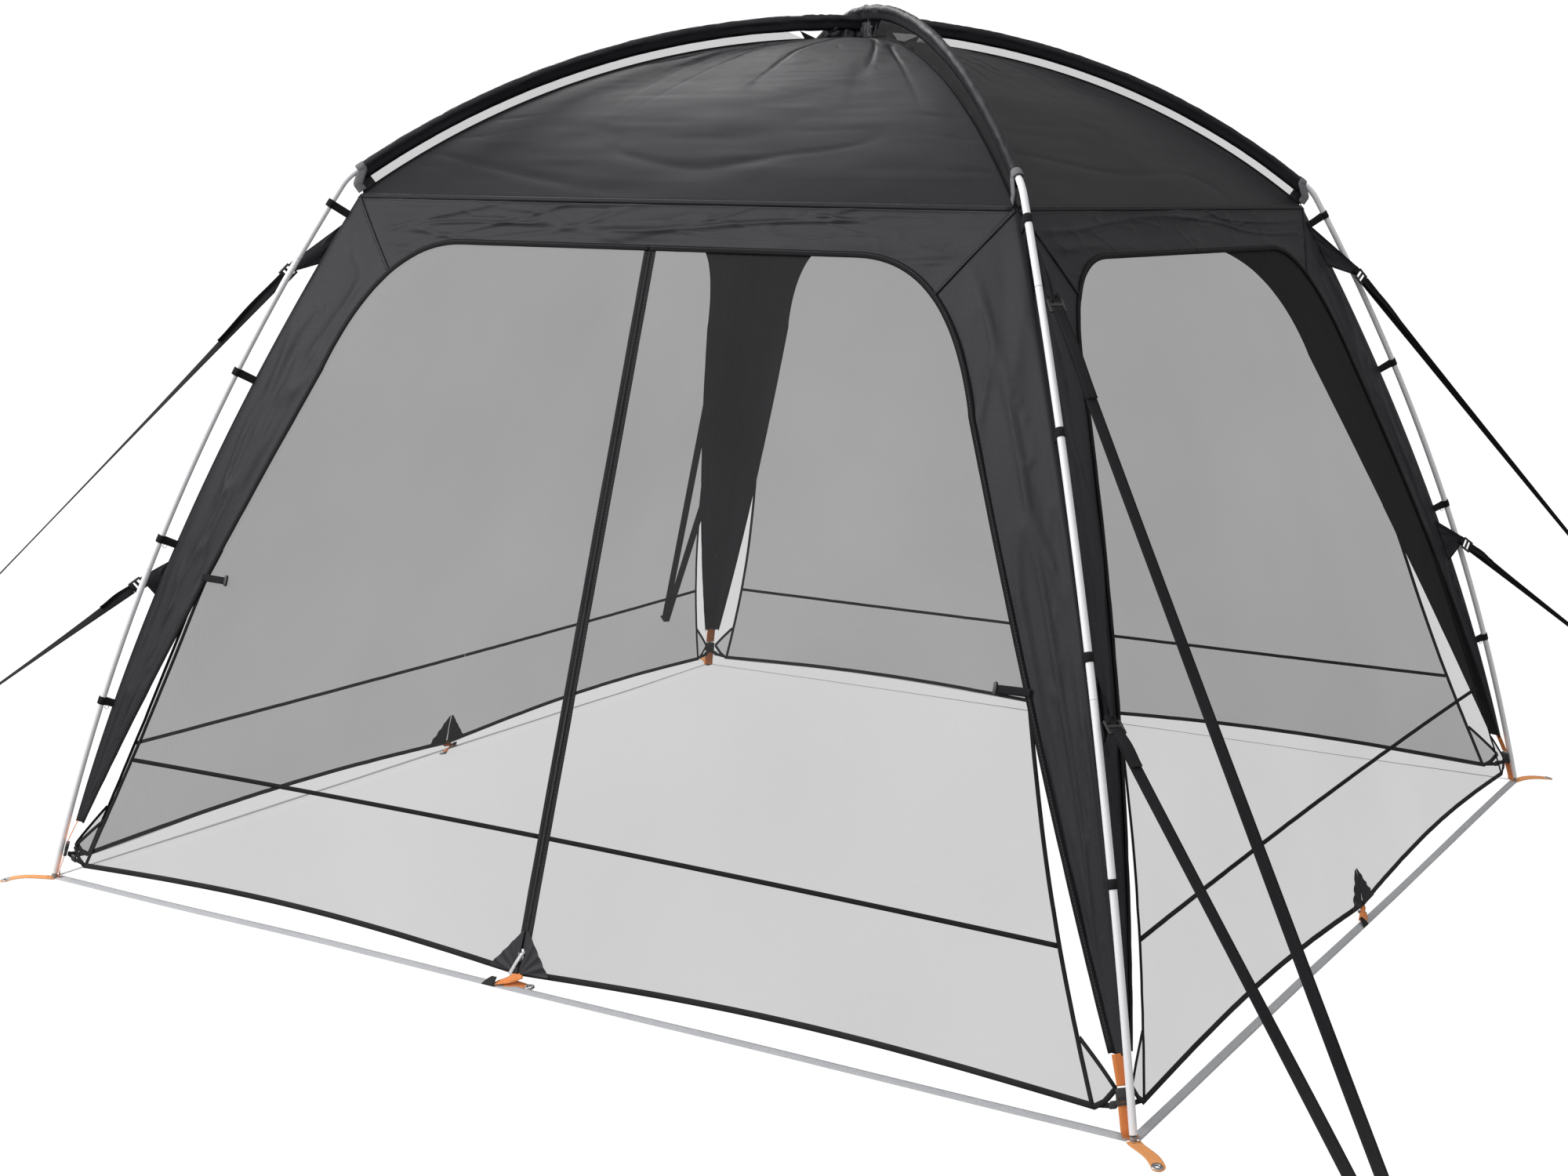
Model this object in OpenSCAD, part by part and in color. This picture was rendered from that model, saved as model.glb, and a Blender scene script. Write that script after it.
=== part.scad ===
// Screen house: a square camping shelter with a dome roof on two crossed
// poles, four bowed legs and four insect-mesh walls, one of them a zipped door.
// Origin: centre of the footprint on the ground. The door wall faces -Y.

/* [Footprint and heights] */
// Side of the square between the four feet
footprint = 3000; // [2700:50:3300]
// Height of the upper roof pole where the two poles cross
apex_h = 2240; // [2180:10:2300]
// Height of the elbows, where the roof poles meet the legs
elbow_h = 1800; // [1760:10:1830]
// Distance of the elbows from the middle, along the diagonal
elbow_r = 1318; // [1300:1:1335]
// Height of the seam between the roof and the walls
seam_h = 1745; // [1720:5:1760]
// Distance of the roof's fabric corners from the middle, along the diagonal
corner_r = 1303; // [1290:1:1310]

/* [Poles] */
// Diameter of the leg poles and elbows
leg_d = 16; // [15.8:0.1:16.4]
// Diameter of the roof poles
roof_pole_d = 13; // [12:0.5:13]
// Wall thickness of the tubes
tube_wall = 1.2; // [1:0.1:2]
// Bend of each elbow in degrees
elbow_bend = 22; // [20:1:24]
// Radius of the elbow's bend
elbow_bend_r = 120; // [100:5:140]

/* [Fabric] */
// Thickness of the coated fabric
cloth_t = 1.5; // [1:0.1:2]
// Thickness of the insect mesh
mesh_t = 1; // [0.8:0.1:1.2]
// Outward bow of the leg fabric at half height, along the diagonal
fabric_bow = 76; // [60:1:80]
// Height of the window's top edge
window_top = 1635; // [1625:5:1640]
// Height at which the mesh leaves the leg fabric
mesh_split_h = 760; // [700:10:800]
// Height of the hem at the corners
hem_h = 38; // [34:1:44]
// Height of the tape across each wall
tape_h = 325; // [300:5:350]

/* [Straps] */
// Width of the webbing
webbing_w = 25; // [20:1:25]
// Length of each pegging tab
tab_l = 120; // [100:5:130]
// Width of each pegging tab
tab_w = 29; // [25:1:29]
// Outer width of each metal eyelet
eyelet_d = 23; // [16:0.5:23]

/* [Hidden] */
$fn = 48;

root2 = sqrt(2);
far = 4000;
gap = 0.5;
foot_r = footprint / 2 * root2;
foot_plug_h = 12;

// Corners, counted from the front right one: turn about Z, and the side on
// which the guy straps pass the pole
FR = 0;
BR = 1;
BL = 2;
FL = 3;
function corner_turn(i) = -45 + 90 * i;
function guy_side(i) = (i % 2 == 0) ? 1 : -1;

// Roof arcs in a diagonal plane. The under pole runs front left to back right.
sleeve_ro = roof_pole_d / 2 + 4;
sleeve_ri = roof_pole_d / 2 + 2.5;
pole_cross = 2 * sleeve_ro + 1;
function pole_apex(k) = apex_h - (k % 2) * pole_cross;
function arc_r(apex, r, z) = (r * r + pow(apex - z, 2)) / (2 * (apex - z));
function roof_r(k) = arc_r(pole_apex(k), elbow_r, elbow_h);
function roof_end(k) = acos(elbow_r / roof_r(k));

// Ridge of the roof fabric, below the poles
ridge_apex = apex_h - 75;
ridge_r = arc_r(ridge_apex, corner_r, seam_h);
function ridge_z(r) = ridge_apex - ridge_r + sqrt(ridge_r * ridge_r - r * r);

// Elbow and leg arcs, tangent to the roof pole's end
function slope_a(k) = 90 - roof_end(k);
function bend_c(k) = [elbow_r - elbow_bend_r * sin(slope_a(k)), elbow_h - elbow_bend_r * cos(slope_a(k))];
function leg_slope(k) = slope_a(k) + elbow_bend;
function leg_top(k) = bend_c(k) + elbow_bend_r * [sin(leg_slope(k)), cos(leg_slope(k))];
function leg_chord(k) = [foot_r - leg_top(k)[0], leg_top(k)[1] - foot_plug_h];
function leg_half(k) = atan2(leg_chord(k)[1], leg_chord(k)[0]) - leg_slope(k);
function leg_arc_r(k) = norm(leg_chord(k)) / 2 / sin(leg_half(k));
function leg_c(k) = leg_top(k) - leg_arc_r(k) * [sin(leg_slope(k)), cos(leg_slope(k))];
function leg_a(k, z) = asin((z - leg_c(k)[1]) / leg_arc_r(k));
function leg_r(k, z) = leg_c(k)[0] + leg_arc_r(k) * cos(leg_a(k, z));
elbow_joint_h = 1585;
leg_joint_h = 800;

// Leg fabric: the corner line bows outward between the foot and the seam
fabric_foot_r = foot_r - 16;
function fabric_r(z) = fabric_foot_r + (corner_r - fabric_foot_r) * z / seam_h
    + 4 * fabric_bow * z / seam_h * (1 - z / seam_h);
function fabric_w(z) = fabric_r(z) / root2;
steps = 12;

// Each wall leans in a plane from its foot line to the roof seam
wall_foot = 1486;
wall_tilt = atan((wall_foot - corner_r / root2) / seam_h);
function slant(z) = z / cos(wall_tilt);
function on_wall(p) = [p[0], slant(p[1])];

// Window outline in wall coordinates (x, height): half, from the top's middle
window_flat = 560;
window_side = [913, 1313];
leg_edge_x = 1433;
leg_fabric_end_h = 150;
mesh_foot_x = 1412;
seam_x = corner_r / root2;
function bezier(a, b, c, t) = (1 - t) * (1 - t) * a + 2 * t * (1 - t) * b + t * t * c;
window_curve = [for (i = [0:8]) bezier([window_flat, window_top], [800, window_top], window_side, i / 8)];
function leg_edge(z) = window_side[0]
    + (leg_edge_x - window_side[0]) * (window_side[1] - z) / (window_side[1] - leg_fabric_end_h);
mesh_lap = 12;
function mirrored(p) = [for (i = [len(p) - 1:-1:0]) [-p[i][0], p[i][1]]];

// Hem: a shallow curve from the corner to the middle of the wall
hem_mid_h = 28;
hem_rise = 24;
function hem_z(x) = hem_mid_h + (hem_h - hem_mid_h) * abs(x) / mesh_foot_x
    + hem_rise * sin(180 * abs(x) / mesh_foot_x);
function hem_line(x0, x1, lift) = [for (i = [0:8]) let (x = x0 + (x1 - x0) * i / 8) [x, hem_z(x) + lift]];

// Zip and slider
zip_gap = 1.8;
zip_half_w = 16;
zip_low = 44;
zip_top = window_top - 20;
slider_h = 24;
slider_w = 14;
layer_out = mesh_t + gap;
slider_low = 62;
pull_l = 55;
pull_pin_lift = layer_out + cloth_t + 4.3;
pull_pin_s = slant(slider_low) + slider_h / 2;

// Patch at the middle of each hem
patch_w = 85;
patch_h = 92;

// Guy straps beside the diagonal: distance from the middle, height. Each pair drifts
// sideways on its way to the ground, where its peg was put in by hand.
strap_t = 2.4;
guy_offset = 30;
guy_drift = [150, 0, -15, 0];
guy_upper_route = [[1500, 1536], [1650, 1379], [1820, 1202], [1990, 1026], [2160, 850], [2330, 675],
                   [2500, 500], [2670, 326], [2830, 164], [2985, 7]];
guy_lower_route = [[1900, 745], [2018, 661], [2136, 578], [2254, 495], [2372, 412], [2490, 329],
                   [2608, 246], [2722, 165], [2834, 84], [2945, 4]];
guy_tab_top = 1700;
guy_tab_low = 830;
ladder_l = 34;

module at_corner(i) {
    rotate([0, 0, corner_turn(i)]) children();
}

module at_wall(i) {
    rotate([0, 0, 90 * i]) children();
}

// Lays a sheet that is drawn in wall coordinates on the leaning wall
module lean(lift) {
    translate([0, -wall_foot, 0])
        rotate([90 - wall_tilt, 0, 0])
            translate([0, 0, lift]) children();
}

// Sweeps a section along an arc in the diagonal plane
module diagonal_arc(c, r, a0, a1) {
    translate([c[0], 0, c[1]])
        rotate([90, 0, 0])
            rotate([0, 0, a0])
                rotate_extrude(angle = a1 - a0, $fn = 240)
                    translate([r, 0]) children();
}

module ring(ro, ri) {
    difference() {
        circle(r = ro);
        circle(r = ri);
    }
}

module roof_arc(k, r_shift, a0, a1) {
    diagonal_arc([0, pole_apex(k) - roof_r(k)], roof_r(k) + r_shift, a0, a1) children();
}

// One roof pole: three tube sections that meet inside two ferrules
module roof_pole(k) {
    joint_gap = 0.02;
    span = 180 - 2 * roof_end(k);
    for (s = [0:2])
        roof_arc(k, 0, roof_end(k) + s * span / 3 + joint_gap, roof_end(k) + (s + 1) * span / 3 - joint_gap)
            ring(roof_pole_d / 2, roof_pole_d / 2 - tube_wall);
}

module roof_pole_over() {
    color("silver") at_corner(FR) roof_pole(0);
}

module roof_pole_under() {
    color("silver") at_corner(BR) roof_pole(1);
}

module roof_ferrules() {
    half = 1.2;
    color("gray") for (k = [0, 1]) at_corner(k) {
        span = 180 - 2 * roof_end(k);
        for (s = [1, 2])
            roof_arc(k, 0, roof_end(k) + s * span / 3 - half, roof_end(k) + s * span / 3 + half)
                ring(roof_pole_d / 2 - tube_wall - 0.2, roof_pole_d / 2 - tube_wall - 1.6);
    }
}

// A bent tube that takes the roof pole's end and turns it down into the leg
module elbow(k) {
    socket = 0.7;
    bend_gap = 0.1;
    roof_arc(k, 0, roof_end(k) + 0.001, roof_end(k) + socket) ring(leg_d / 2, leg_d / 2 - tube_wall);
    diagonal_arc(bend_c(k), elbow_bend_r, 90 - leg_slope(k) + bend_gap, 90 - slope_a(k) - bend_gap)
        ring(leg_d / 2, leg_d / 2 - tube_wall);
    diagonal_arc(leg_c(k), leg_arc_r(k), leg_a(k, elbow_joint_h) + 0.005, 90 - leg_slope(k))
        ring(leg_d / 2, leg_d / 2 - tube_wall);
}

module pole_elbows() {
    color("white") for (i = [0:3]) at_corner(i) elbow(i);
}

module leg_tube(i, z0, z1) {
    color("white") at_corner(i)
        diagonal_arc(leg_c(i), leg_arc_r(i), leg_a(i, z0), leg_a(i, z1) - 0.005)
            ring(leg_d / 2, leg_d / 2 - tube_wall);
}

module upper_leg(i) {
    leg_tube(i, leg_joint_h, elbow_joint_h);
}

module lower_leg(i) {
    leg_tube(i, foot_plug_h + 3, leg_joint_h);
}

// Plastic plug that closes the foot of each leg and stands on the ground
module foot_plugs() {
    color("gray") for (i = [0:3]) at_corner(i) translate([foot_r, 0, 0]) {
        cylinder(d = leg_d - 2, h = foot_plug_h);
    }
}

// Fabric channel round a roof pole
module sleeve(k) {
    inset = 0.9;
    color("dimgray") at_corner(k)
        roof_arc(k, 0, roof_end(k) + inset, 180 - roof_end(k) - inset) ring(sleeve_ro, sleeve_ri);
}

// Webbing that wraps the sleeve's end and holds it to the roof's corner
module sleeve_end_straps() {
    band = 0.75;
    band_r = leg_d / 2 + 2.5;
    color("gray") for (i = [0:3]) at_corner(i) {
        roof_arc(i, 0, roof_end(i) - 0.1, roof_end(i) + band) ring(band_r, band_r - 1.5);
        translate([elbow_r - 10, 0, elbow_h - leg_d / 2 - 32])
            rotate([0, 8, 0]) translate([-1, -webbing_w / 2, 0]) cube([1.5, webbing_w, 24]);
    }
}

// One roof panel: level lines run straight from ridge to ridge
module roof_panel(i) {
    ridge = [for (s = [0:steps]) let (r = corner_r * (1 - s / steps)) [-r / root2, ridge_z(r)]];
    skin = concat(ridge, [for (s = [steps:-1:0]) ridge[s] + [0, cloth_t]]);
    color("dimgray") at_wall(i) intersection() {
        rotate([90, 0, 90]) linear_extrude(height = far, center = true) polygon(skin);
        translate([0, -4, 0]) linear_extrude(height = far) polygon([[0, 0], [far, -far], [-far, -far]]);
    }
}

// Mesh between each sleeve and the roof's ridge, with a slanted end at both ends
module vent_strips() {
    top_clear = sleeve_ro + 0.6;
    ends = [110, 1262];
    function above(k, r) = pole_apex(k) - roof_r(k)
        + sqrt(pow(roof_r(k) - top_clear, 2) - r * r);
    color("whitesmoke") for (i = [0:3]) at_corner(i) {
        upper = [for (s = [0:10]) let (r = ends[0] + 60 + (ends[1] - ends[0] - 50) * s / 10) [r, above(i, r)]];
        lower = [for (s = [10:-1:0]) let (r = ends[0] + (ends[1] - ends[0]) * s / 10)
            [r, ridge_z(r) + cloth_t + gap]];
        rotate([90, 0, 0]) linear_extrude(height = mesh_t, center = true) polygon(concat(upper, lower));
    }
}

// Band of fabric between the roof seam and the window, mitred at its ends
module valances() {
    half = concat([for (i = [0:4]) window_curve[i]], [[seam_x - 8, seam_h - 3]]);
    outline = concat(half, mirrored(half));
    color("dimgray") for (i = [0:3]) at_wall(i)
        lean(layer_out) linear_extrude(height = cloth_t) polygon([for (p = outline) on_wall(p)]);
}

// Half of a leg's fabric: the face that lies on one wall
module leg_face() {
    outer = [for (s = [0:steps]) let (z = leg_fabric_end_h + (seam_h - 6 - leg_fabric_end_h) * s / steps)
        [-fabric_w(z), z]];
    skin = concat(outer, [for (s = [steps:-1:0]) outer[s] - [cloth_t, 0]]);
    inner = concat([for (i = [4:8]) window_curve[i] + [1, -1]], [[leg_edge_x, leg_fabric_end_h]]);
    face = concat(inner, [[far / 2, leg_fabric_end_h], [far / 2, seam_h], [seam_x + 4, seam_h]]);
    intersection() {
        rotate([90, 0, 90]) linear_extrude(height = far, center = true) polygon(skin);
        rotate([90, 0, 0]) linear_extrude(height = far) polygon(face);
        translate([-0.3, 0, 0]) linear_extrude(height = far) polygon([[0, 0], [far, -far], [0, -far]]);
    }
}

module leg_fabric(i) {
    color("dimgray") {
        at_wall(i) leg_face();
        at_wall(i + 1) mirror([1, 0, 0]) leg_face();
    }
}

// Side edge of a mesh wall: laps behind the leg fabric, then runs free to the hem
mesh_side = concat(
    [for (i = [1:8]) window_curve[i] + mesh_lap * [1, 0.5]],
    [[leg_edge(mesh_split_h) + mesh_lap, mesh_split_h], [mesh_foot_x, hem_h]]
);

module mesh_wall(i) {
    top = [[window_flat, window_top + mesh_lap]];
    half = concat(top, mesh_side);
    outline = concat(half, hem_line(mesh_foot_x - 10, -mesh_foot_x + 10, 0), mirrored(half));
    color("darkgray", 0.5) at_wall(i)
        lean(0) linear_extrude(height = mesh_t) polygon([for (p = outline) on_wall(p)]);
}

// Half of the door: the mesh between a leg and the zip
module door_mesh() {
    half = concat([[zip_half_w - 6, window_top - 8], [window_flat, window_top + mesh_lap]], mesh_side);
    outline = concat(half, hem_line(mesh_foot_x - 10, zip_half_w - 6, 0));
    color("darkgray", 0.5)
        lean(0) linear_extrude(height = mesh_t) polygon([for (p = outline) on_wall(p)]);
}

// Half of the zip, with the patch half sewn beside its lower end
module door_zip() {
    color("black") lean(layer_out) linear_extrude(height = cloth_t) {
        polygon([for (p = [[zip_gap, zip_low], [zip_half_w, zip_low], [zip_half_w, zip_top], [zip_gap, zip_top]])
            on_wall(p)]);
        polygon([for (p = [[zip_half_w - 1, zip_low], [patch_w, hem_z(patch_w) + 12],
            [zip_half_w - 1, zip_low + patch_h]]) on_wall(p)]);
    }
}

// Metal slider: two plates on a post that runs between the zip's halves
module zip_slider() {
    plate = 1.6;
    clear = 0.5;
    color("silver") lean(0) {
        for (lift = [layer_out - clear - plate, layer_out + cloth_t + clear])
            translate([-slider_w / 2, slant(slider_low), lift]) cube([slider_w, slider_h, plate]);
        translate([-1.1, slant(slider_low) + 2, layer_out - clear - plate / 2])
            cube([2.2, 6, cloth_t + 2 * clear + plate]);
        for (x = [-6.9, 5.5])
            translate([x, pull_pin_s - 2.5, layer_out + cloth_t + clear + plate / 2]) cube([1.4, 5, 5]);
    }
}

// Webbing pull that hangs from the slider by a small ring
module zip_pull() {
    color("white") lean(0) translate([0, pull_pin_s, pull_pin_lift]) {
        rotate([0, 90, 0]) cylinder(d = 3, h = 9, center = true, $fn = 24);
        translate([-4, -pull_l, -1]) cube([8, pull_l, 2]);
    }
}

// Band of binding or tape between a run of wall points and the same run moved
module band(p, move) {
    back = [for (i = [len(p) - 1:-1:0]) p[i] + move];
    lean(layer_out) linear_extrude(height = cloth_t) polygon([for (q = concat(p, back)) on_wall(q)]);
}

hem_bind_w = 12;
side_bind_w = 9;
tape_w = 10;
side_low = [mesh_foot_x - 2, hem_h + hem_bind_w + gap];
side_high = [leg_edge(mesh_split_h) - 2, mesh_split_h];
function tape_x(h) = side_low[0] + (side_high[0] - side_low[0]) * (h - side_low[1]) / (side_high[1] - side_low[1]);

// Everything sewn round the free edges of half a wall, from x0 outward
module half_trim(x0) {
    band(hem_line(x0, mesh_foot_x, 0), [0, hem_bind_w]);
    band([side_low, side_high], [-side_bind_w, 0]);
    band([[x0, tape_h], [tape_x(tape_h + tape_w) - side_bind_w - gap, tape_h]], [0, tape_w]);
}

module door_trim() {
    color("black") half_trim(patch_w + 2);
}

module hem_patch() {
    patch_lift = layer_out + cloth_t + gap;
    lean(patch_lift) linear_extrude(height = cloth_t)
        polygon([for (p = [[-patch_w, hem_mid_h + 2], [patch_w, hem_mid_h + 2], [0, hem_mid_h + patch_h]]) on_wall(p)]);
}

module wall_trim() {
    color("black") for (i = [1:3]) at_wall(i) {
        half_trim(gap);
        mirror([1, 0, 0]) half_trim(gap);
        hem_patch();
    }
}

// Orange loop that ties the middle of each hem to the ground strap
module hem_loops() {
    loop_w = 20;
    color("orange") for (i = [0:3]) at_wall(i)
        translate([-loop_w / 2, -footprint / 2 + 8, 3.2]) cube([loop_w, 30, 2]);
}

// Webbing along the ground from foot to foot
module ground_straps() {
    strap_w = 20;
    color("lightgray") for (i = [0:3]) at_wall(i)
        translate([-footprint / 2 + 26, -footprint / 2 - strap_w / 2, gap]) cube([footprint - 52, strap_w, 1.6]);
}

foot_buckle_h = [62, 96];

// Orange strap from the end of the leg fabric through the buckle to the foot
module foot_straps() {
    color("orange") for (i = [0:3]) at_corner(i) {
        top = [fabric_r(leg_fabric_end_h) - 6, leg_fabric_end_h - 1];
        low = [leg_r(i, foot_plug_h + 3) - leg_d / 2 - 2, foot_plug_h + 3];
        lean_a = atan2(low[0] - top[0], top[1] - low[1]);
        length = norm(top - low);
        difference() {
            translate([low[0], -webbing_w / 2, low[1]]) rotate([0, -lean_a, 0]) translate([-2, 0, 0])
                cube([2, webbing_w, length]);
            translate([0, -far / 2, foot_buckle_h[0] - 1]) cube([far, far, foot_buckle_h[1] - foot_buckle_h[0] + 2]);
        }
    }
}

// Side-release buckle that tensions the leg fabric to the foot
module foot_buckles() {
    mid = (foot_buckle_h[0] + foot_buckle_h[1]) / 2;
    height = foot_buckle_h[1] - foot_buckle_h[0];
    color("black") for (i = [0:3]) at_corner(i)
        translate([leg_r(i, mid) - leg_d / 2 - 7, 0, mid]) rotate([0, -leg_a(i, mid), 0])
            cube([9, webbing_w + 8, height - 1], center = true);
}

// Orange pegging tab with a metal eyelet in its end
module peg_tab(i) {
    root_r = foot_r + leg_d / 2 + 4;
    eyelet_r = root_r + tab_l - tab_w / 2;
    rim = 0.4;
    color("orange") at_corner(i) {
        difference() {
            union() {
                translate([root_r, -tab_w / 2, 1]) cube([tab_l - tab_w / 2, tab_w, 2]);
                translate([eyelet_r, 0, 1]) cylinder(d = tab_w, h = 2);
            }
            translate([eyelet_r, 0, 0]) cylinder(d = eyelet_d + rim, h = 5);
        }
        translate([eyelet_r, 0, gap]) difference() {
            cylinder(d = eyelet_d, h = 3.4);
            translate([0, 0, -1]) cylinder(d = 10, h = 6);
        }
    }
}

clip_heights = [465, 878, 1300, 1722];

// Webbing loop round the leg pole, sewn to the corner of the leg fabric
module pole_clips() {
    clip_h = 20;
    clip_ri = leg_d / 2 + 0.9;
    clip_ro = clip_ri + 1.5;
    color("black") for (i = [0:3]) at_corner(i) for (z = clip_heights) {
        r = leg_r(i, z);
        reach = (r - fabric_r(z)) * cos(leg_a(i, z)) - 3;
        translate([r, 0, z]) rotate([0, -leg_a(i, z), 0]) {
            difference() {
                cylinder(r = clip_ro, h = clip_h, center = true);
                cylinder(r = clip_ri, h = clip_h + 2, center = true);
            }
            translate([-reach, -1, -clip_h / 2]) cube([reach - clip_ro + 0.5, 2, clip_h]);
        }
    }
}

// Strap and toggle that hold an opened door half to the leg
tie_h = 780;
tie_l = 80;
module tie_back() {
    root_x = leg_edge(tie_h) - 6;
    color("black") lean(layer_out + 3) translate([root_x - tie_l, slant(tie_h), 0]) {
        cube([tie_l, 18, 2]);
        translate([0, 9, -0.5]) cylinder(d = 16, h = 3);
    }
}

// Triangle of fabric on the leg that takes a guy strap's ladder lock
module guy_tab(z_top, z_low, tip) {
    base = [for (z = [z_top, z_low]) [fabric_r(z) - guy_offset + 4, z]];
    rotate([90, 0, 0]) linear_extrude(height = 2, center = true) polygon(concat(base, [tip]));
}

function route_dir(route) = let (d = route[1] - route[0]) d / norm(d);
function tab_tip(route) = route[0] - (ladder_l + 2) * route_dir(route);

module guy_tabs() {
    color("black") for (i = [0:3]) at_corner(i) translate([0, guy_side(i) * guy_offset, 0]) {
        guy_tab(guy_tab_top, guy_tab_top - 120, tab_tip(guy_upper_route));
        guy_tab(guy_tab_low, guy_tab_low - 120, tab_tip(guy_lower_route));
    }
}

module guy_buckles() {
    color("black") for (i = [0:3]) at_corner(i) translate([0, guy_side(i) * guy_offset, 0])
        for (route = [guy_upper_route, guy_lower_route]) {
            d = route_dir(route);
            translate([route[0][0], 0, route[0][1]]) rotate([0, -atan2(d[1], d[0]), 0])
                translate([-ladder_l - 1, -webbing_w / 2 - 3, -3]) cube([ladder_l, webbing_w + 6, 6]);
        }
}

// Flat strap swept along its route, with an eight-sided section
module guy_strap(i, route) {
    n = len(route);
    function along(s) = let (d = route[min(s + 1, n - 1)] - route[max(s - 1, 0)]) d / norm(d);
    r0 = route[0][0];
    function drift(r) = guy_drift[i] * (r - r0) / (route[n - 1][0] - r0);
    rings = [for (s = [0:n - 1]) for (j = [0:7])
        let (d = along(s), y = drift(route[s][0]) + webbing_w / 2 * cos(45 * j + 22.5) / cos(22.5),
             h = strap_t / 2 * sin(45 * j + 22.5) / sin(67.5))
        [route[s][0] - d[1] * h, y, route[s][1] + d[0] * h]];
    sides = [for (s = [0:n - 2]) for (j = [0:7])
        let (a = 8 * s + j, b = 8 * s + (j + 1) % 8) [a, a + 8, b + 8, b]];
    color("black") at_corner(i) translate([0, guy_side(i) * guy_offset, 0])
        polyhedron(concat(rings), concat([[for (j = [0:7]) j]], sides, [[for (j = [7:-1:0]) 8 * (n - 1) + j]]));
}

roof_pole_over();
roof_pole_under();
roof_ferrules();
pole_elbows();
upper_leg(FR);  // upper_leg_fr
upper_leg(BR);  // upper_leg_br
upper_leg(BL);  // upper_leg_bl
upper_leg(FL);  // upper_leg_fl
lower_leg(FR);  // lower_leg_fr
lower_leg(BR);  // lower_leg_br
lower_leg(BL);  // lower_leg_bl
lower_leg(FL);  // lower_leg_fl
foot_plugs();
sleeve(0);  // sleeve_over
sleeve(1);  // sleeve_under
sleeve_end_straps();
roof_panel(0);  // roof_panel_front
roof_panel(1);  // roof_panel_right
roof_panel(2);  // roof_panel_back
roof_panel(3);  // roof_panel_left
vent_strips();
valances();
leg_fabric(FR);  // leg_fabric_fr
leg_fabric(BR);  // leg_fabric_br
leg_fabric(BL);  // leg_fabric_bl
leg_fabric(FL);  // leg_fabric_fl
mesh_wall(1);  // mesh_wall_right
mesh_wall(2);  // mesh_wall_back
mesh_wall(3);  // mesh_wall_left
mirror([1, 0, 0]) door_mesh();  // door_mesh_left
door_mesh();  // door_mesh_right
mirror([1, 0, 0]) door_zip();  // door_zip_left
door_zip();  // door_zip_right
zip_slider();
zip_pull();
mirror([1, 0, 0]) door_trim();  // door_trim_left
door_trim();  // door_trim_right
wall_trim();
hem_loops();
ground_straps();
foot_straps();
foot_buckles();
peg_tab(FR);  // peg_tab_fr
peg_tab(BR);  // peg_tab_br
peg_tab(BL);  // peg_tab_bl
peg_tab(FL);  // peg_tab_fl
pole_clips();
mirror([1, 0, 0]) tie_back();  // tie_back_left
tie_back();  // tie_back_right
guy_tabs();
guy_buckles();
guy_strap(FR, guy_upper_route);  // guy_upper_fr
guy_strap(BR, guy_upper_route);  // guy_upper_br
guy_strap(BL, guy_upper_route);  // guy_upper_bl
guy_strap(FL, guy_upper_route);  // guy_upper_fl
guy_strap(FR, guy_lower_route);  // guy_lower_fr
guy_strap(BR, guy_lower_route);  // guy_lower_br
guy_strap(BL, guy_lower_route);  // guy_lower_bl
guy_strap(FL, guy_lower_route);  // guy_lower_fl
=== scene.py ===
"""Screen house: a square camping shelter with a dome roof on two crossed poles, four bowed legs and
four insect-mesh walls. The front wall (towards -Y) is a door with a zip up its middle."""
import math

import bmesh
import bpy
import numpy as np
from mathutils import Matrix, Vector


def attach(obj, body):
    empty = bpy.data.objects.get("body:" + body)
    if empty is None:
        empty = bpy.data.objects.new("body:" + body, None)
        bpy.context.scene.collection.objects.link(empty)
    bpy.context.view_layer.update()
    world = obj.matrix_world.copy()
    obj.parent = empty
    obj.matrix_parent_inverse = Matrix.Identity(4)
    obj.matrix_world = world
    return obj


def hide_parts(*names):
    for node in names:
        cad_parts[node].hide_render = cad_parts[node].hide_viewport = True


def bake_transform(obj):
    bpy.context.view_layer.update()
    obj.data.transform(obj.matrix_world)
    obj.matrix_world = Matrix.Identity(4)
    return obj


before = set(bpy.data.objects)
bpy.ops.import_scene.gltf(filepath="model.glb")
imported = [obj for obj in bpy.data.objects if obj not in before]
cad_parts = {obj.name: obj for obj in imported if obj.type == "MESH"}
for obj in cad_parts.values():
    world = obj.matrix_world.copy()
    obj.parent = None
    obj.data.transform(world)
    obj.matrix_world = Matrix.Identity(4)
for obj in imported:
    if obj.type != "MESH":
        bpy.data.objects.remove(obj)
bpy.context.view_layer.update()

# ---- Camera, floor and light -----------------------------------------------------------------
# A long lens at eye height, in front of the near corner, in a bright white studio.
camera_data = bpy.data.cameras.new("camera")
camera_data.lens = 49.63
camera_data.sensor_width = 36.0
camera_data.shift_x = -0.0592
camera_data.shift_y = -0.0035
camera_data.clip_end = 200.0
camera = bpy.data.objects.new("camera", camera_data)
camera.location = (2.961, -5.108, 1.788)
camera.rotation_euler = [math.radians(a) for a in (79.573, -0.813, 29.632)]
bpy.context.scene.collection.objects.link(camera)
bpy.context.scene.camera = camera
bpy.context.scene.view_settings.view_transform = "Standard"

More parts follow.
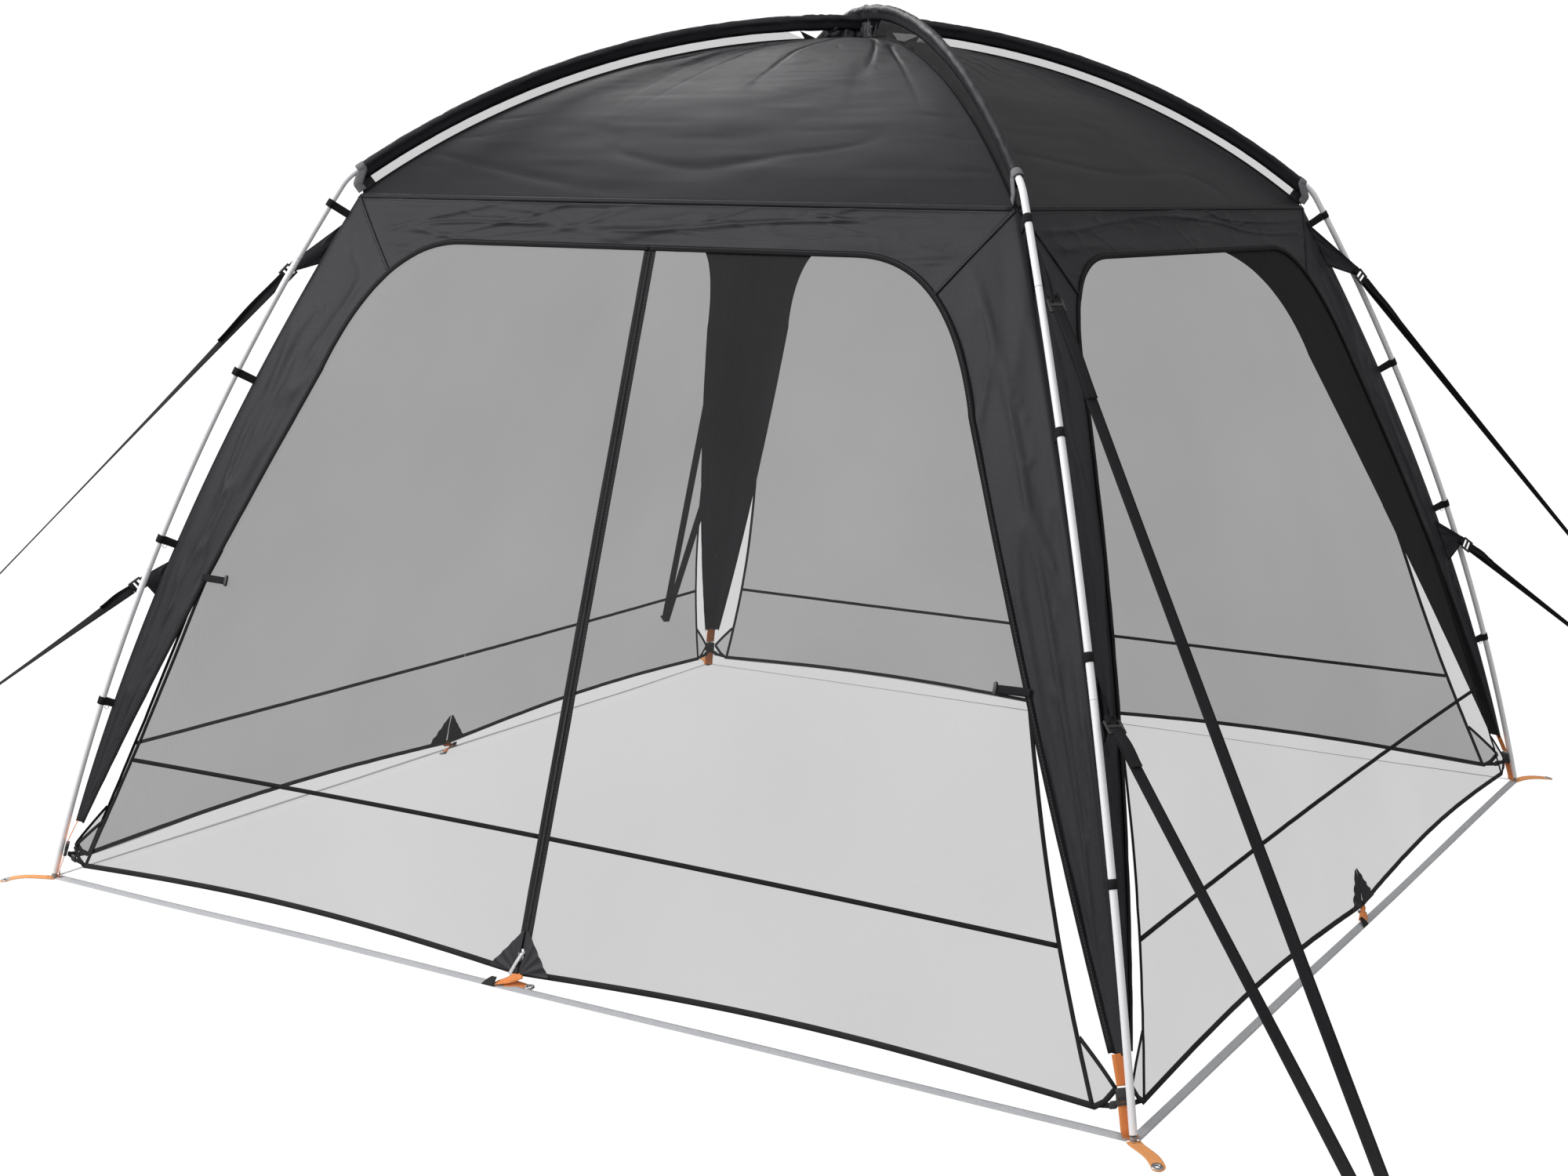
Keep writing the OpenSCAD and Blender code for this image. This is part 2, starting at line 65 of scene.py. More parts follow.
world = bpy.data.worlds.new("studio")
world.use_nodes = True
world_nodes = world.node_tree.nodes
world_links = world.node_tree.links
backdrop_light = world_nodes["Background"]
backdrop_light.inputs["Color"].default_value = (1.0, 1.0, 1.0, 1.0)
backdrop_way = world_nodes.new("ShaderNodeTexCoord")
backdrop_split = world_nodes.new("ShaderNodeSeparateXYZ")
backdrop_fade = world_nodes.new("ShaderNodeMapRange")
backdrop_fade.inputs["From Min"].default_value = -0.2
backdrop_fade.inputs["From Max"].default_value = 0.7
backdrop_fade.inputs["To Min"].default_value = 0.84
backdrop_fade.inputs["To Max"].default_value = 0.42
world_links.new(backdrop_way.outputs["Generated"], backdrop_split.inputs["Vector"])
world_links.new(backdrop_split.outputs["Y"], backdrop_fade.inputs["Value"])
world_links.new(backdrop_fade.outputs["Result"], backdrop_light.inputs["Strength"])
backdrop_seen = world_nodes.new("ShaderNodeBackground")
backdrop_seen.inputs["Color"].default_value = (1.0, 1.0, 1.0, 1.0)
backdrop_seen.inputs["Strength"].default_value = 1.05
seen_or_light = world_nodes.new("ShaderNodeMixShader")
ray_kind = world_nodes.new("ShaderNodeLightPath")
world_links.new(ray_kind.outputs["Is Camera Ray"], seen_or_light.inputs["Fac"])
world_links.new(backdrop_light.outputs["Background"], seen_or_light.inputs[1])
world_links.new(backdrop_seen.outputs["Background"], seen_or_light.inputs[2])
world_links.new(seen_or_light.outputs["Shader"], world_nodes["World Output"].inputs["Surface"])
bpy.context.scene.world = world


def soft_light(name, place, aim, size, power):
    """A large square area light at place that faces aim."""
    lamp = bpy.data.lights.new(name, "AREA")
    lamp.shape = "SQUARE"
    lamp.size = size
    lamp.energy = power
    holder = bpy.data.objects.new(name, lamp)
    holder.location = place
    direction = Vector(aim) - Vector(place)
    holder.rotation_euler = direction.to_track_quat("-Z", "Y").to_euler()
    bpy.context.scene.collection.objects.link(holder)


soft_light("key light", (-4.5, -6.5, 5.5), (0.0, 0.0, 1.2), 3.5, 500.0)
soft_light("top light", (-5.0, 3.2, 5.6), (0.0, 0.0, 2.0), 3.0, 200.0)


def mesh_object(name, points, faces, uvs=None, smooth=True):
    """A mesh in the shared frame. uvs has one pair of metres along the cloth per point."""
    mesh = bpy.data.meshes.new(name)
    mesh.from_pydata([tuple(float(c) for c in p) for p in points], [], [tuple(f) for f in faces])
    mesh.update()
    if uvs is not None:
        layer = mesh.uv_layers.new(name="cloth")
        corner = np.zeros(len(mesh.loops), np.int32)
        mesh.loops.foreach_get("vertex_index", corner)
        layer.data.foreach_set("uv", np.asarray(uvs, np.float32)[corner].ravel())
    mesh.polygons.foreach_set("use_smooth", [smooth] * len(mesh.polygons))
    obj = bpy.data.objects.new(name, mesh)
    bpy.context.scene.collection.objects.link(obj)
    return obj


floor_half = 60.0
floor = mesh_object("floor", [(-floor_half, -floor_half, 0), (floor_half, -floor_half, 0),
                              (floor_half, floor_half, 0), (-floor_half, floor_half, 0)], [(0, 1, 2, 3)])
floor_paint = bpy.data.materials.new("floor")
floor_paint.use_nodes = True
floor_shader = floor_paint.node_tree.nodes["Principled BSDF"]
floor_shader.inputs["Base Color"].default_value = (0.06, 0.06, 0.06, 1.0)
floor_shader.inputs["Roughness"].default_value = 0.9
floor_shader.inputs["Specular IOR Level"].default_value = 0.0
floor_shader.inputs["Emission Strength"].default_value = 1.0
floor_glow = floor_paint.node_tree.nodes.new("ShaderNodeMix")
floor_glow.data_type = "RGBA"
floor_glow.inputs["A"].default_value = (0.12, 0.12, 0.12, 1.0)
floor_glow.inputs["B"].default_value = (1.0, 1.0, 1.0, 1.0)
floor_ray = floor_paint.node_tree.nodes.new("ShaderNodeLightPath")
floor_paint.node_tree.links.new(floor_ray.outputs["Is Camera Ray"], floor_glow.inputs["Factor"])
floor_paint.node_tree.links.new(floor_glow.outputs["Result"], floor_shader.inputs["Emission Color"])
floor.data.materials.append(floor_paint)

# ---- Guy straps ------------------------------------------------------------------------------
# Flat black webbing, 25 mm wide. Each leg has an upper and a lower strap, pulled taut from the
# ladder lock on its fabric tab to one place on the ground, where both end in a sewn loop.
FOOTPRINT = 3.0
FOOT_R = FOOTPRINT / 2 * math.sqrt(2)
CORNERS = ["fr", "br", "bl", "fl"]


def corner_point(i, r, side, z):
    """A point beside the diagonal of corner i: r from the middle, side to its left, z up."""
    turn = math.radians(-45 + 90 * i)
    return np.array([r * math.cos(turn) - side * math.sin(turn),
                     r * math.sin(turn) + side * math.cos(turn), z])


def node_group(name, inputs, outputs):
    """An empty shader group with float inputs (name: value) and outputs, for surface patterns."""
    group = bpy.data.node_groups.new(name, "ShaderNodeTree")
    for label, value in inputs.items():
        socket = group.interface.new_socket(label, in_out="INPUT", socket_type="NodeSocketFloat")
        socket.default_value = value
    for label, kind in outputs.items():
        group.interface.new_socket(label, in_out="OUTPUT", socket_type=kind)
    return group, group.nodes.new("NodeGroupInput"), group.nodes.new("NodeGroupOutput")


def wire(tree, source, out, target, into):
    tree.links.new(source.outputs[out], target.inputs[into])


def math_node(tree, operation, a, b=None):
    """A math node. a and b are numbers or (node, output) pairs."""
    node = tree.nodes.new("ShaderNodeMath")
    node.operation = operation
    for slot_index, value in enumerate((a, b)):
        if value is None:
            continue
        if isinstance(value, tuple):
            wire(tree, value[0], value[1], node, slot_index)
        else:
            node.inputs[slot_index].default_value = value
    return node


def make_weave_group():
    """Two crossing sets of threads, with a heavier thread every few millimetres in both ways."""
    group, given, result = node_group(
        "woven cloth", {"Thread": 0.0012, "Grid": 0.006}, {"Height": "NodeSocketFloat"})
    place = group.nodes.new("ShaderNodeTexCoord")
    split = group.nodes.new("ShaderNodeSeparateXYZ")
    wire(group, place, "UV", split, 0)
    lines = []
    for axis in ("X", "Y"):
        for size, share in (("Thread", 0.35), ("Grid", 1.0)):
            turns = math_node(group, "DIVIDE", (split, axis), (given, size))
            wave = math_node(group, "SINE", (math_node(group, "MULTIPLY", (turns, 0), 2 * math.pi), 0))
            high = math_node(group, "MAXIMUM", (wave, 0), 0.0)
            sharp = math_node(group, "POWER", (high, 0), 1.0 if size == "Thread" else 6.0)
            lines.append(math_node(group, "MULTIPLY", (sharp, 0), share))
    height = lines[0]
    for line in lines[1:]:
        height = math_node(group, "ADD", (height, 0), (line, 0))
    wire(group, height, 0, result, "Height")
    return group


def make_wear_group():
    """Soft blotches of handling and dust, and fine grain, in object space."""
    group, given, result = node_group(
        "wear and dust", {"Blotch": 3.0, "Grain": 180.0},
        {"Dust": "NodeSocketFloat", "Grain": "NodeSocketFloat", "Blotch": "NodeSocketFloat"})
    place = group.nodes.new("ShaderNodeTexCoord")
    blotch = group.nodes.new("ShaderNodeTexNoise")
    blotch.inputs["Detail"].default_value = 4.0
    grain = group.nodes.new("ShaderNodeTexNoise")
    grain.inputs["Detail"].default_value = 2.0
    for node, label in ((blotch, "Blotch"), (grain, "Grain")):
        wire(group, place, "Object", node, "Vector")
        wire(group, given, label, node, "Scale")
    split = group.nodes.new("ShaderNodeSeparateXYZ")
    wire(group, place, "Object", split, 0)
    near_ground = group.nodes.new("ShaderNodeMapRange")
    near_ground.inputs["From Min"].default_value = 0.0
    near_ground.inputs["From Max"].default_value = 0.35
    near_ground.inputs["To Min"].default_value = 1.0
    near_ground.inputs["To Max"].default_value = 0.12
    wire(group, split, "Z", near_ground, "Value")
    dust = math_node(group, "MULTIPLY", (near_ground, 0), (blotch, "Fac"))
    wire(group, dust, 0, result, "Dust")
    wire(group, grain, "Fac", result, "Grain")
    wire(group, blotch, "Fac", result, "Blotch")
    return group


def make_rib_group():
    """Webbing: slanted ribs from both edges to the middle, along the strap's own length."""
    group, given, result = node_group(
        "webbing ribs", {"Pitch": 0.0016, "Slant": 1.2}, {"Height": "NodeSocketFloat"})
    place = group.nodes.new("ShaderNodeTexCoord")
    split = group.nodes.new("ShaderNodeSeparateXYZ")
    wire(group, place, "UV", split, 0)
    from_middle = math_node(group, "ABSOLUTE", (split, "X"))
    slanted = math_node(group, "MULTIPLY", (from_middle, 0), (given, "Slant"))
    along = math_node(group, "ADD", (split, "Y"), (slanted, 0))
    turns = math_node(group, "DIVIDE", (along, 0), (given, "Pitch"))
    wave = math_node(group, "SINE", (math_node(group, "MULTIPLY", (turns, 0), 2 * math.pi), 0))
    height = math_node(group, "MULTIPLY", (math_node(group, "ADD", (wave, 0), 1.0), 0), 0.5)
    wire(group, height, 0, result, "Height")
    return group


weave_group = make_weave_group()
wear_group = make_wear_group()
rib_group = make_rib_group()


def add_bump(tree, source, out, strength, depth):
    """A Bump node fed by one output, into the shader's Normal."""
    bumps = tree.nodes.new("ShaderNodeBump")
    bumps.inputs["Strength"].default_value = strength
    bumps.inputs["Distance"].default_value = depth
    wire(tree, source, out, bumps, "Height")
    wire(tree, bumps, "Normal", tree.nodes["Principled BSDF"], "Normal")


DUST_COLOUR = (0.42, 0.40, 0.37, 1.0)
ROUGH_SPREAD = 0.09


def painted(name, dark, light, roughness, specular=0.5, metallic=0.0, pattern=None, pattern_values=None,
            bump=0.0, bump_depth=0.0004, wear_values=None, dust=0.0):
    """A Principled material: dark and light are mixed by the wear pattern, and pattern gives its bump."""
    material = bpy.data.materials.new(name)
    material.use_nodes = True
    tree = material.node_tree
    shader = tree.nodes["Principled BSDF"]
    shader.inputs["Specular IOR Level"].default_value = specular
    shader.inputs["Metallic"].default_value = metallic
    wear = tree.nodes.new("ShaderNodeGroup")
    wear.node_tree = wear_group
    for label, value in (wear_values or {}).items():
        wear.inputs[label].default_value = value
    mix = tree.nodes.new("ShaderNodeMix")
    mix.data_type = "RGBA"
    mix.inputs["A"].default_value = (*dark, 1.0)
    mix.inputs["B"].default_value = (*light, 1.0)
    shade = math_node(tree, "MULTIPLY", (wear, "Blotch"), 0.7)
    grain = math_node(tree, "MULTIPLY", (wear, "Grain"), 0.45)
    amount = math_node(tree, "ADD", (shade, 0), (grain, 0))
    if pattern:
        texture = tree.nodes.new("ShaderNodeGroup")
        texture.node_tree = pattern
        for label, value in (pattern_values or {}).items():
            texture.inputs[label].default_value = value
        lifted = math_node(tree, "MULTIPLY", (texture, "Height"), 0.25)
        amount = math_node(tree, "ADD", (amount, 0), (math_node(tree, "SUBTRACT", (lifted, 0), 0.12), 0))
        add_bump(tree, texture, "Height", bump, bump_depth)
    elif bump:
        add_bump(tree, wear, "Grain", bump, bump_depth)
    wire(tree, amount, 0, mix, "Factor")
    coloured = mix
    if dust:
        coloured = tree.nodes.new("ShaderNodeMix")
        coloured.data_type = "RGBA"
        coloured.inputs["B"].default_value = DUST_COLOUR
        wire(tree, mix, "Result", coloured, "A")
        wire(tree, math_node(tree, "MULTIPLY", (wear, "Dust"), dust), 0, coloured, "Factor")
    wire(tree, coloured, "Result", shader, "Base Color")
    rough = tree.nodes.new("ShaderNodeMapRange")
    rough.inputs["To Min"].default_value = max(0.05, roughness - ROUGH_SPREAD)
    rough.inputs["To Max"].default_value = min(1.0, roughness + ROUGH_SPREAD)
    wire(tree, wear, "Blotch", rough, "Value")
    wire(tree, rough, "Result", shader, "Roughness")
    return material


def strap_mesh(name, centres, across, thickness, width, material, body, parts=5):
    """Flat webbing along a line. across gives the unit direction of its width at each point."""
    centres = np.asarray(centres, float)
    across = np.asarray(across, float)
    along = np.gradient(centres, axis=0)
    along /= np.linalg.norm(along, axis=1)[:, None]
    across = across - along * (across * along).sum(1)[:, None]
    across /= np.linalg.norm(across, axis=1)[:, None]
    out = np.cross(along, across)
    run = np.concatenate([[0], np.cumsum(np.linalg.norm(np.diff(centres, axis=0), axis=1))])
    shares = np.linspace(-0.5, 0.5, parts)
    section = [(s * width, thickness / 2 * (1.0 if abs(s) < 0.49 else 0.45)) for s in shares]
    section += [(x, -h) for x, h in reversed(section)]
    points = []
    uvs = []
    for centre, side, normal, length in zip(centres, across, out, run):
        for x, h in section:
            points.append(centre + side * x + normal * h)
            uvs.append((x, length))
    count = len(section)
    faces = []
    for k in range(len(centres) - 1):
        for j in range(count):
            a = k * count + j
            b = k * count + (j + 1) % count
            faces.append((a, b, b + count, a + count))
    faces.append(tuple(reversed(range(count))))
    faces.append(tuple(range((len(centres) - 1) * count, len(centres) * count)))
    strap = mesh_object(name, points, faces, uvs)
    strap.data.materials.append(material)
    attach(strap, body)
    return strap


black_webbing = painted("black webbing", (0.006, 0.006, 0.007), (0.019, 0.019, 0.022), 0.72, specular=0.15,
                        pattern=rib_group, bump=0.8, wear_values={"Blotch": 9.0, "Grain": 700.0}, dust=0.10)

GUY_OFFSET = 0.030
GUY_SIDE = [1, -1, 1, -1]
GUY_DRIFT = [0.150, 0.0, -0.015, 0.0]
WEBBING_W = 0.025
GUY_ROUTES = {
    "upper": [(1.500, 1.536), (1.650, 1.379), (1.820, 1.202), (1.990, 1.026), (2.160, 0.850), (2.330, 0.675),
              (2.500, 0.500), (2.670, 0.326), (2.830, 0.164), (2.985, 0.007)],
    "lower": [(1.900, 0.745), (2.018, 0.661), (2.136, 0.578), (2.254, 0.495), (2.372, 0.412), (2.490, 0.329),
              (2.608, 0.246), (2.722, 0.165), (2.834, 0.084), (2.945, 0.004)],
}
GUY_L = {"upper": 2.13, "lower": 1.28}
GUY_T = 0.0018
GUY_LEAN = [0.0, 20.0, 0.0, 20.0]
LOCK_TWIST = [0.0, 46.0, 0.0, 46.0]


def guy_points(i, level):
    """The strap's own line from its ladder lock to the ground."""
    route = GUY_ROUTES[level]
    span = route[-1][0] - route[0][0]
    return [corner_point(i, r, GUY_SIDE[i] * GUY_OFFSET + GUY_DRIFT[i] * (r - route[0][0]) / span, z)
            for r, z in route]


def strap_turn(i, share):
    """How far the strap has turned about its own length, share of the way down, in radians."""
    settle = LOCK_TWIST[i] * np.exp(-share * 9.0) * (1 - share)
    sway = (7 + i) * np.sin(math.pi * share) * np.sin(5.5 * share + i)
    return np.radians(settle + GUY_LEAN[i] * (1 - share) + sway)


def between(points, steps):
    """More points along the same line, evenly spread."""
    points = np.asarray(points, float)
    run = np.concatenate([[0], np.cumsum(np.linalg.norm(np.diff(points, axis=0), axis=1))])
    want = np.linspace(0, run[-1], steps)
    return np.stack([np.interp(want, run, points[:, k]) for k in range(3)], axis=1)


GUY_LOOP_L = 0.034
GUY_LOOP_H = 0.010


def guy_loop(name, start, onward, side):
    """The strap's end folded back on itself and sewn: a small teardrop of webbing on the ground."""
    ring = []
    last = 14
    for k in range(last + 1):
        a = 2 * math.pi * k / last
        height = GUY_LOOP_H * (0.5 + 0.5 * math.sin(a) * math.sin(a / 2)) * (0.5 if k in (0, last) else 1)
        ring.append(start + onward * GUY_LOOP_L * (0.5 - 0.5 * math.cos(a)) + np.array([0, 0, height]))
    return strap_mesh(name, ring, [side] * len(ring), GUY_T, WEBBING_W * 0.92, black_webbing, "canopy")


for i, corner in enumerate(CORNERS):
    side_way = corner_point(i, 0, 1, 0)
    out_way = corner_point(i, 1, 0, 0)
    for level in ("upper", "lower"):
        line = guy_points(i, level)
        fine = between(line, 90)
        share = np.linspace(0, 1, 90)
        lift = np.cross(side_way, (line[-1] - line[0]) / np.linalg.norm(line[-1] - line[0]))
        width_way = [side_way * math.cos(t) + lift * math.sin(t) for t in strap_turn(i, share)]
        strap = strap_mesh(f"guy_strap_{level}_{corner}", fine, width_way, GUY_T, WEBBING_W, black_webbing,
                           "canopy")
        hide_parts(f"guy_{level}_{corner}")
        loop = guy_loop(f"guy_loop_{level}_{corner}", fine[-1], out_way, side_way)

# ---- Poles -----------------------------------------------------------------------------------
# Powder-coated tubes: satin white legs and elbows, roof poles inside the sleeves, grey end plugs.
# Their CAD shapes are right, so they stay and only get their paint.
white_paint = painted("white powder coat", (0.88, 0.88, 0.90), (0.94, 0.94, 0.96), 0.34, specular=0.45,
                      bump=0.25, bump_depth=0.0002, wear_values={"Blotch": 14.0, "Grain": 900.0}, dust=0.12)
grey_plastic = painted("grey plastic", (0.20, 0.20, 0.21), (0.30, 0.30, 0.31), 0.55,
                       bump=0.3, bump_depth=0.0002, wear_values={"Blotch": 40.0, "Grain": 1500.0}, dust=0.2)


def repaint(node, material):
    """A CAD node that stays as it is, in a better material."""
    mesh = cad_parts[node].data
    mesh.materials.clear()
    mesh.materials.append(material)
    mesh.polygons.foreach_set("material_index", [0] * len(mesh.polygons))


for node in ["pole_elbows", "roof_pole_over", "roof_pole_under", "roof_ferrules"]:
    repaint(node, white_paint)
for corner in CORNERS:
    repaint(f"upper_leg_{corner}", white_paint)
    repaint(f"lower_leg_{corner}", white_paint)
repaint("foot_plugs", grey_plastic)

# ---- Pole sleeves ----------------------------------------------------------------------------
# A channel of thin black cloth round each roof pole, with a flat flange below it where the vent
# strip is sewn in. The cloth crinkles along its length and bunches up where the poles cross.
APEX_H = 2.240
ELBOW_H = 1.800
ELBOW_R = 1.318
ROOF_POLE_D = 0.013
SLEEVE_R = ROOF_POLE_D / 2 + 0.004
POLE_CROSS = 2 * SLEEVE_R + 0.001
FLANGE_H = 0.019


def arc_r(apex, r, z):
    """Radius of an arc whose top is apex and that passes r from the middle at height z."""
    return (r * r + (apex - z) ** 2) / (2 * (apex - z))


def pole_apex(k):
    return APEX_H - (k % 2) * POLE_CROSS


def pole_r(k):
    return arc_r(pole_apex(k), ELBOW_R, ELBOW_H)


LATTICE_N = 64


def soft_noise(u, v, seed):
    """Smooth noise from -1 to 1 over the plane, one cell per unit."""
    table = np.random.default_rng(seed).uniform(-1, 1, (LATTICE_N, LATTICE_N))
    u, v = np.broadcast_arrays(np.asarray(u, float), np.asarray(v, float))
    iu = np.floor(u).astype(int)
    iv = np.floor(v).astype(int)
    fu = u - iu
    fv = v - iv
    fu = fu * fu * (3 - 2 * fu)
    fv = fv * fv * (3 - 2 * fv)

    def at(a, b):
        return table[a % LATTICE_N, b % LATTICE_N]

    low = at(iu, iv) * (1 - fu) + at(iu + 1, iv) * fu
    high = at(iu, iv + 1) * (1 - fu) + at(iu + 1, iv + 1) * fu
    return low * (1 - fv) + high * fv


def creases(u, v, seed):
    """Sharp-backed folds: mostly flat, with thin ridges, from 0 to 1."""
    warp = 0.7 * soft_noise(u * 0.6 + 7, v * 0.6, seed + 1)
    ridge = 1 - np.abs(soft_noise(u + warp, v + warp, seed))
    return np.clip((ridge - 0.72) / 0.28, 0, 1) ** 1.5


cloth_values = {"Thread": 0.0011, "Grid": 0.0052}
black_cloth = painted("black coated cloth", (0.0108, 0.0105, 0.0132), (0.0245, 0.0237, 0.0290), 0.52,
                      specular=0.20, pattern=weave_group, pattern_values=cloth_values, bump=0.35,
                      bump_depth=0.0003, wear_values={"Blotch": 2.2, "Grain": 420.0}, dust=0.06)
binding_cloth = painted("black binding", (0.005, 0.005, 0.006), (0.013, 0.013, 0.015), 0.7, specular=0.15,
                        pattern=rib_group, pattern_values={"Pitch": 0.0011, "Slant": 0.4}, bump=0.6,
                        wear_values={"Blotch": 8.0, "Grain": 600.0}, dust=0.08)


def grid_faces(rows, columns, wrap=False):
    """The four-sided faces of a grid of points, joined round when wrap is true."""
    faces = []
    across = columns if wrap else columns - 1
    for r in range(rows - 1):
        for c in range(across):
            d = (c + 1) % columns
            faces.append((r * columns + c, r * columns + d, (r + 1) * columns + d, (r + 1) * columns + c))
    return faces


for k, sleeve_name in enumerate(("sleeve_over", "sleeve_under")):
    rings = 420
    around = 22
    inset = math.radians(0.25)
    first = math.acos(ELBOW_R / pole_r(k)) + inset
    turn = np.linspace(first, math.pi - first, rings)[:, None]
    wheel = np.linspace(0, 2 * math.pi, around, endpoint=False)[None, :]
    run = turn * pole_r(k)
    from_apex = np.abs(turn - math.pi / 2) * pole_r(k)
    bunch = np.exp(-(from_apex / 0.22) ** 2)
    below = np.clip(-np.cos(wheel), 0, 1) ** 14
    size = SLEEVE_R + below * FLANGE_H
    crinkle = soft_noise(run * 34, wheel * 1.1, 11 + k) * 0.0009
    crinkle = crinkle + soft_noise(run * 90, wheel * 1.9, 13 + k) * 0.0005
    crinkle = crinkle * (1 + 2.2 * bunch) * (1 - 0.6 * below)
    size = size + crinkle
    sway = below * 0.004 * soft_noise(run * 7, 0.3 + 0 * wheel, 17 + k)
    out = pole_r(k) + size * np.cos(wheel)
    side = size * np.sin(wheel) * (1 - 0.75 * below) + sway
    radial = out * np.cos(turn)
    height = pole_apex(k) - pole_r(k) + out * np.sin(turn)
    points = [corner_point(k, r, s, z) for r, s, z in zip(radial.ravel(), side.ravel(), height.ravel())]
    uvs = np.stack([np.broadcast_to(wheel * SLEEVE_R, radial.shape), np.broadcast_to(run, radial.shape)], -1)
    sleeve = mesh_object(sleeve_name + "_cloth", points, grid_faces(rings, around, True), uvs.reshape(-1, 2))
    sleeve.data.materials.append(black_cloth)
    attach(sleeve, "canopy")
    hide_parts(sleeve_name)

# ---- Roof panels -----------------------------------------------------------------------------
# Four triangles of coated cloth, each one continuous sheet from ridge to ridge that sags a little
# in its middle, with tension creases that fan out from the crossing and along the seam.
RIDGE_APEX = APEX_H - 0.075
CORNER_R = 1.303
SEAM_H = 1.745
CLOTH_T = 0.0012
ridge_r = arc_r(RIDGE_APEX, CORNER_R, SEAM_H)


def ridge_z(r):
    return RIDGE_APEX - ridge_r + np.sqrt(ridge_r ** 2 - r ** 2)


def wall_turn(k, points):
    """Points of the front wall turned to wall k."""
    a = math.radians(90 * k)
    points = np.asarray(points, float)
    x = points[..., 0] * math.cos(a) - points[..., 1] * math.sin(a)
    y = points[..., 0] * math.sin(a) + points[..., 1] * math.cos(a)
    return np.stack([x, y, points[..., 2]], axis=-1)


def grid_normals(points):
    du = np.gradient(points, axis=0)
    dv = np.gradient(points, axis=1)
    normal = np.cross(dv, du)
    size = np.linalg.norm(normal, axis=-1, keepdims=True)
    return normal / np.maximum(size, 1e-9)


def cloth_sheet(name, points, uvs, material, thickness=CLOTH_T, body="canopy"):
    """A closed sheet with a front, a back and edges, from a grid of points."""
    rows, columns = points.shape[:2]
    normal = grid_normals(points)
    both = np.concatenate([(points + normal * thickness / 2).reshape(-1, 3),
                           (points - normal * thickness / 2).reshape(-1, 3)])
    count = rows * columns
    front = grid_faces(rows, columns)
    faces = [tuple(reversed(f)) for f in front] + [tuple(i + count for i in f) for f in front]
    rim = list(range(columns)) + [r * columns + columns - 1 for r in range(1, rows)]
    rim += [(rows - 1) * columns + c for c in range(columns - 2, -1, -1)]
    rim += [r * columns for r in range(rows - 2, 0, -1)]
    for a, b in zip(rim, rim[1:] + rim[:1]):
        faces.append((a, b, b + count, a + count))
    flat_uv = uvs.reshape(-1, 2)
    sheet = mesh_object(name, both, faces, np.concatenate([flat_uv, flat_uv]))
    sheet.data.materials.append(material)
    if body:
        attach(sheet, body)
    return sheet


def wall_area(points):
    du = points[1:, :-1] - points[:-1, :-1]
    dv = points[:-1, 1:] - points[:-1, :-1]
    return float(np.linalg.norm(np.cross(du, dv), axis=-1).sum())


SIDES = ["front", "right", "back", "left"]
roof_cloth = painted("roof cloth", (0.0105, 0.0103, 0.0124), (0.0240, 0.0235, 0.0275), 0.46, specular=0.10,
                     pattern=weave_group, pattern_values=cloth_values, bump=0.35, bump_depth=0.0003,
                     wear_values={"Blotch": 1.6, "Grain": 420.0}, dust=0.05)
for k, side_name in enumerate(SIDES):
    rows = 150
    columns = 170
    down = np.linspace(0.004, 1, rows)[:, None]
    across = np.linspace(-1, 1, columns)[None, :]
    r = CORNER_R * down
    edge = r / math.sqrt(2)
    x = edge * across
    z = ridge_z(r) + 0 * across
    y = -edge + 0 * across
    inner = (1 - across ** 2)
    seam_fade = np.clip((1 - down) / 0.06, 0, 1)
    belly = 0.016 * inner * np.sin(math.pi * np.clip(down, 0, 1) ** 0.8)
    span = down * CORNER_R
    fan = np.arctan2(x, np.maximum(span, 0.05))
    top_folds = creases(fan * 9 + 3, span * 2.0, 31 + 7 * k) * np.exp(-((span - 0.45) / 0.32) ** 2) * 0.0035
    low_folds = creases(x * 2.2, span * 9, 35 + 7 * k) * np.exp(-((1 - down) / 0.16) ** 2) * 0.0040
    from_edge = (1 - np.abs(across)) * edge
    edge_folds = creases(span * 9, from_edge * 4.5, 41 + 7 * k) * np.exp(-(from_edge / 0.10) ** 2) * 0.0034
    waves = soft_noise(x * 3.1, span * 5.5, 51 + 7 * k) * 0.0042
    waves = waves + soft_noise(x * 9, span * 15, 52 + 7 * k) * 0.0011
    ripple = soft_noise(x * 5, span * 42, 53 + 7 * k) * 0.0006
    fine = creases(x * 5.5 - span * 3, span * 19 + x * 2, 54 + 7 * k) * 0.0014
    fine += creases(x * 13 + span * 9, span * 30, 56 + 7 * k) * 0.0007
    fine *= np.exp(-((span - 0.55) / 0.30) ** 2) * inner ** 0.4
    push = (waves + ripple) * inner ** 0.4 + top_folds + low_folds + edge_folds + fine
    points = np.stack([x, y, z], axis=-1)
    normal = grid_normals(points)
    edge_hold = np.clip((1 - np.abs(across)) * 9, 0, 1) * seam_fade
    points = points + normal * ((push - belly * 0.35) * edge_hold)[..., None]
    uvs = np.stack([x, span + 0 * across], axis=-1)
    panel = cloth_sheet(f"roof_cloth_{side_name}", wall_turn(k, points), uvs, roof_cloth)
    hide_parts(f"roof_panel_{side_name}")

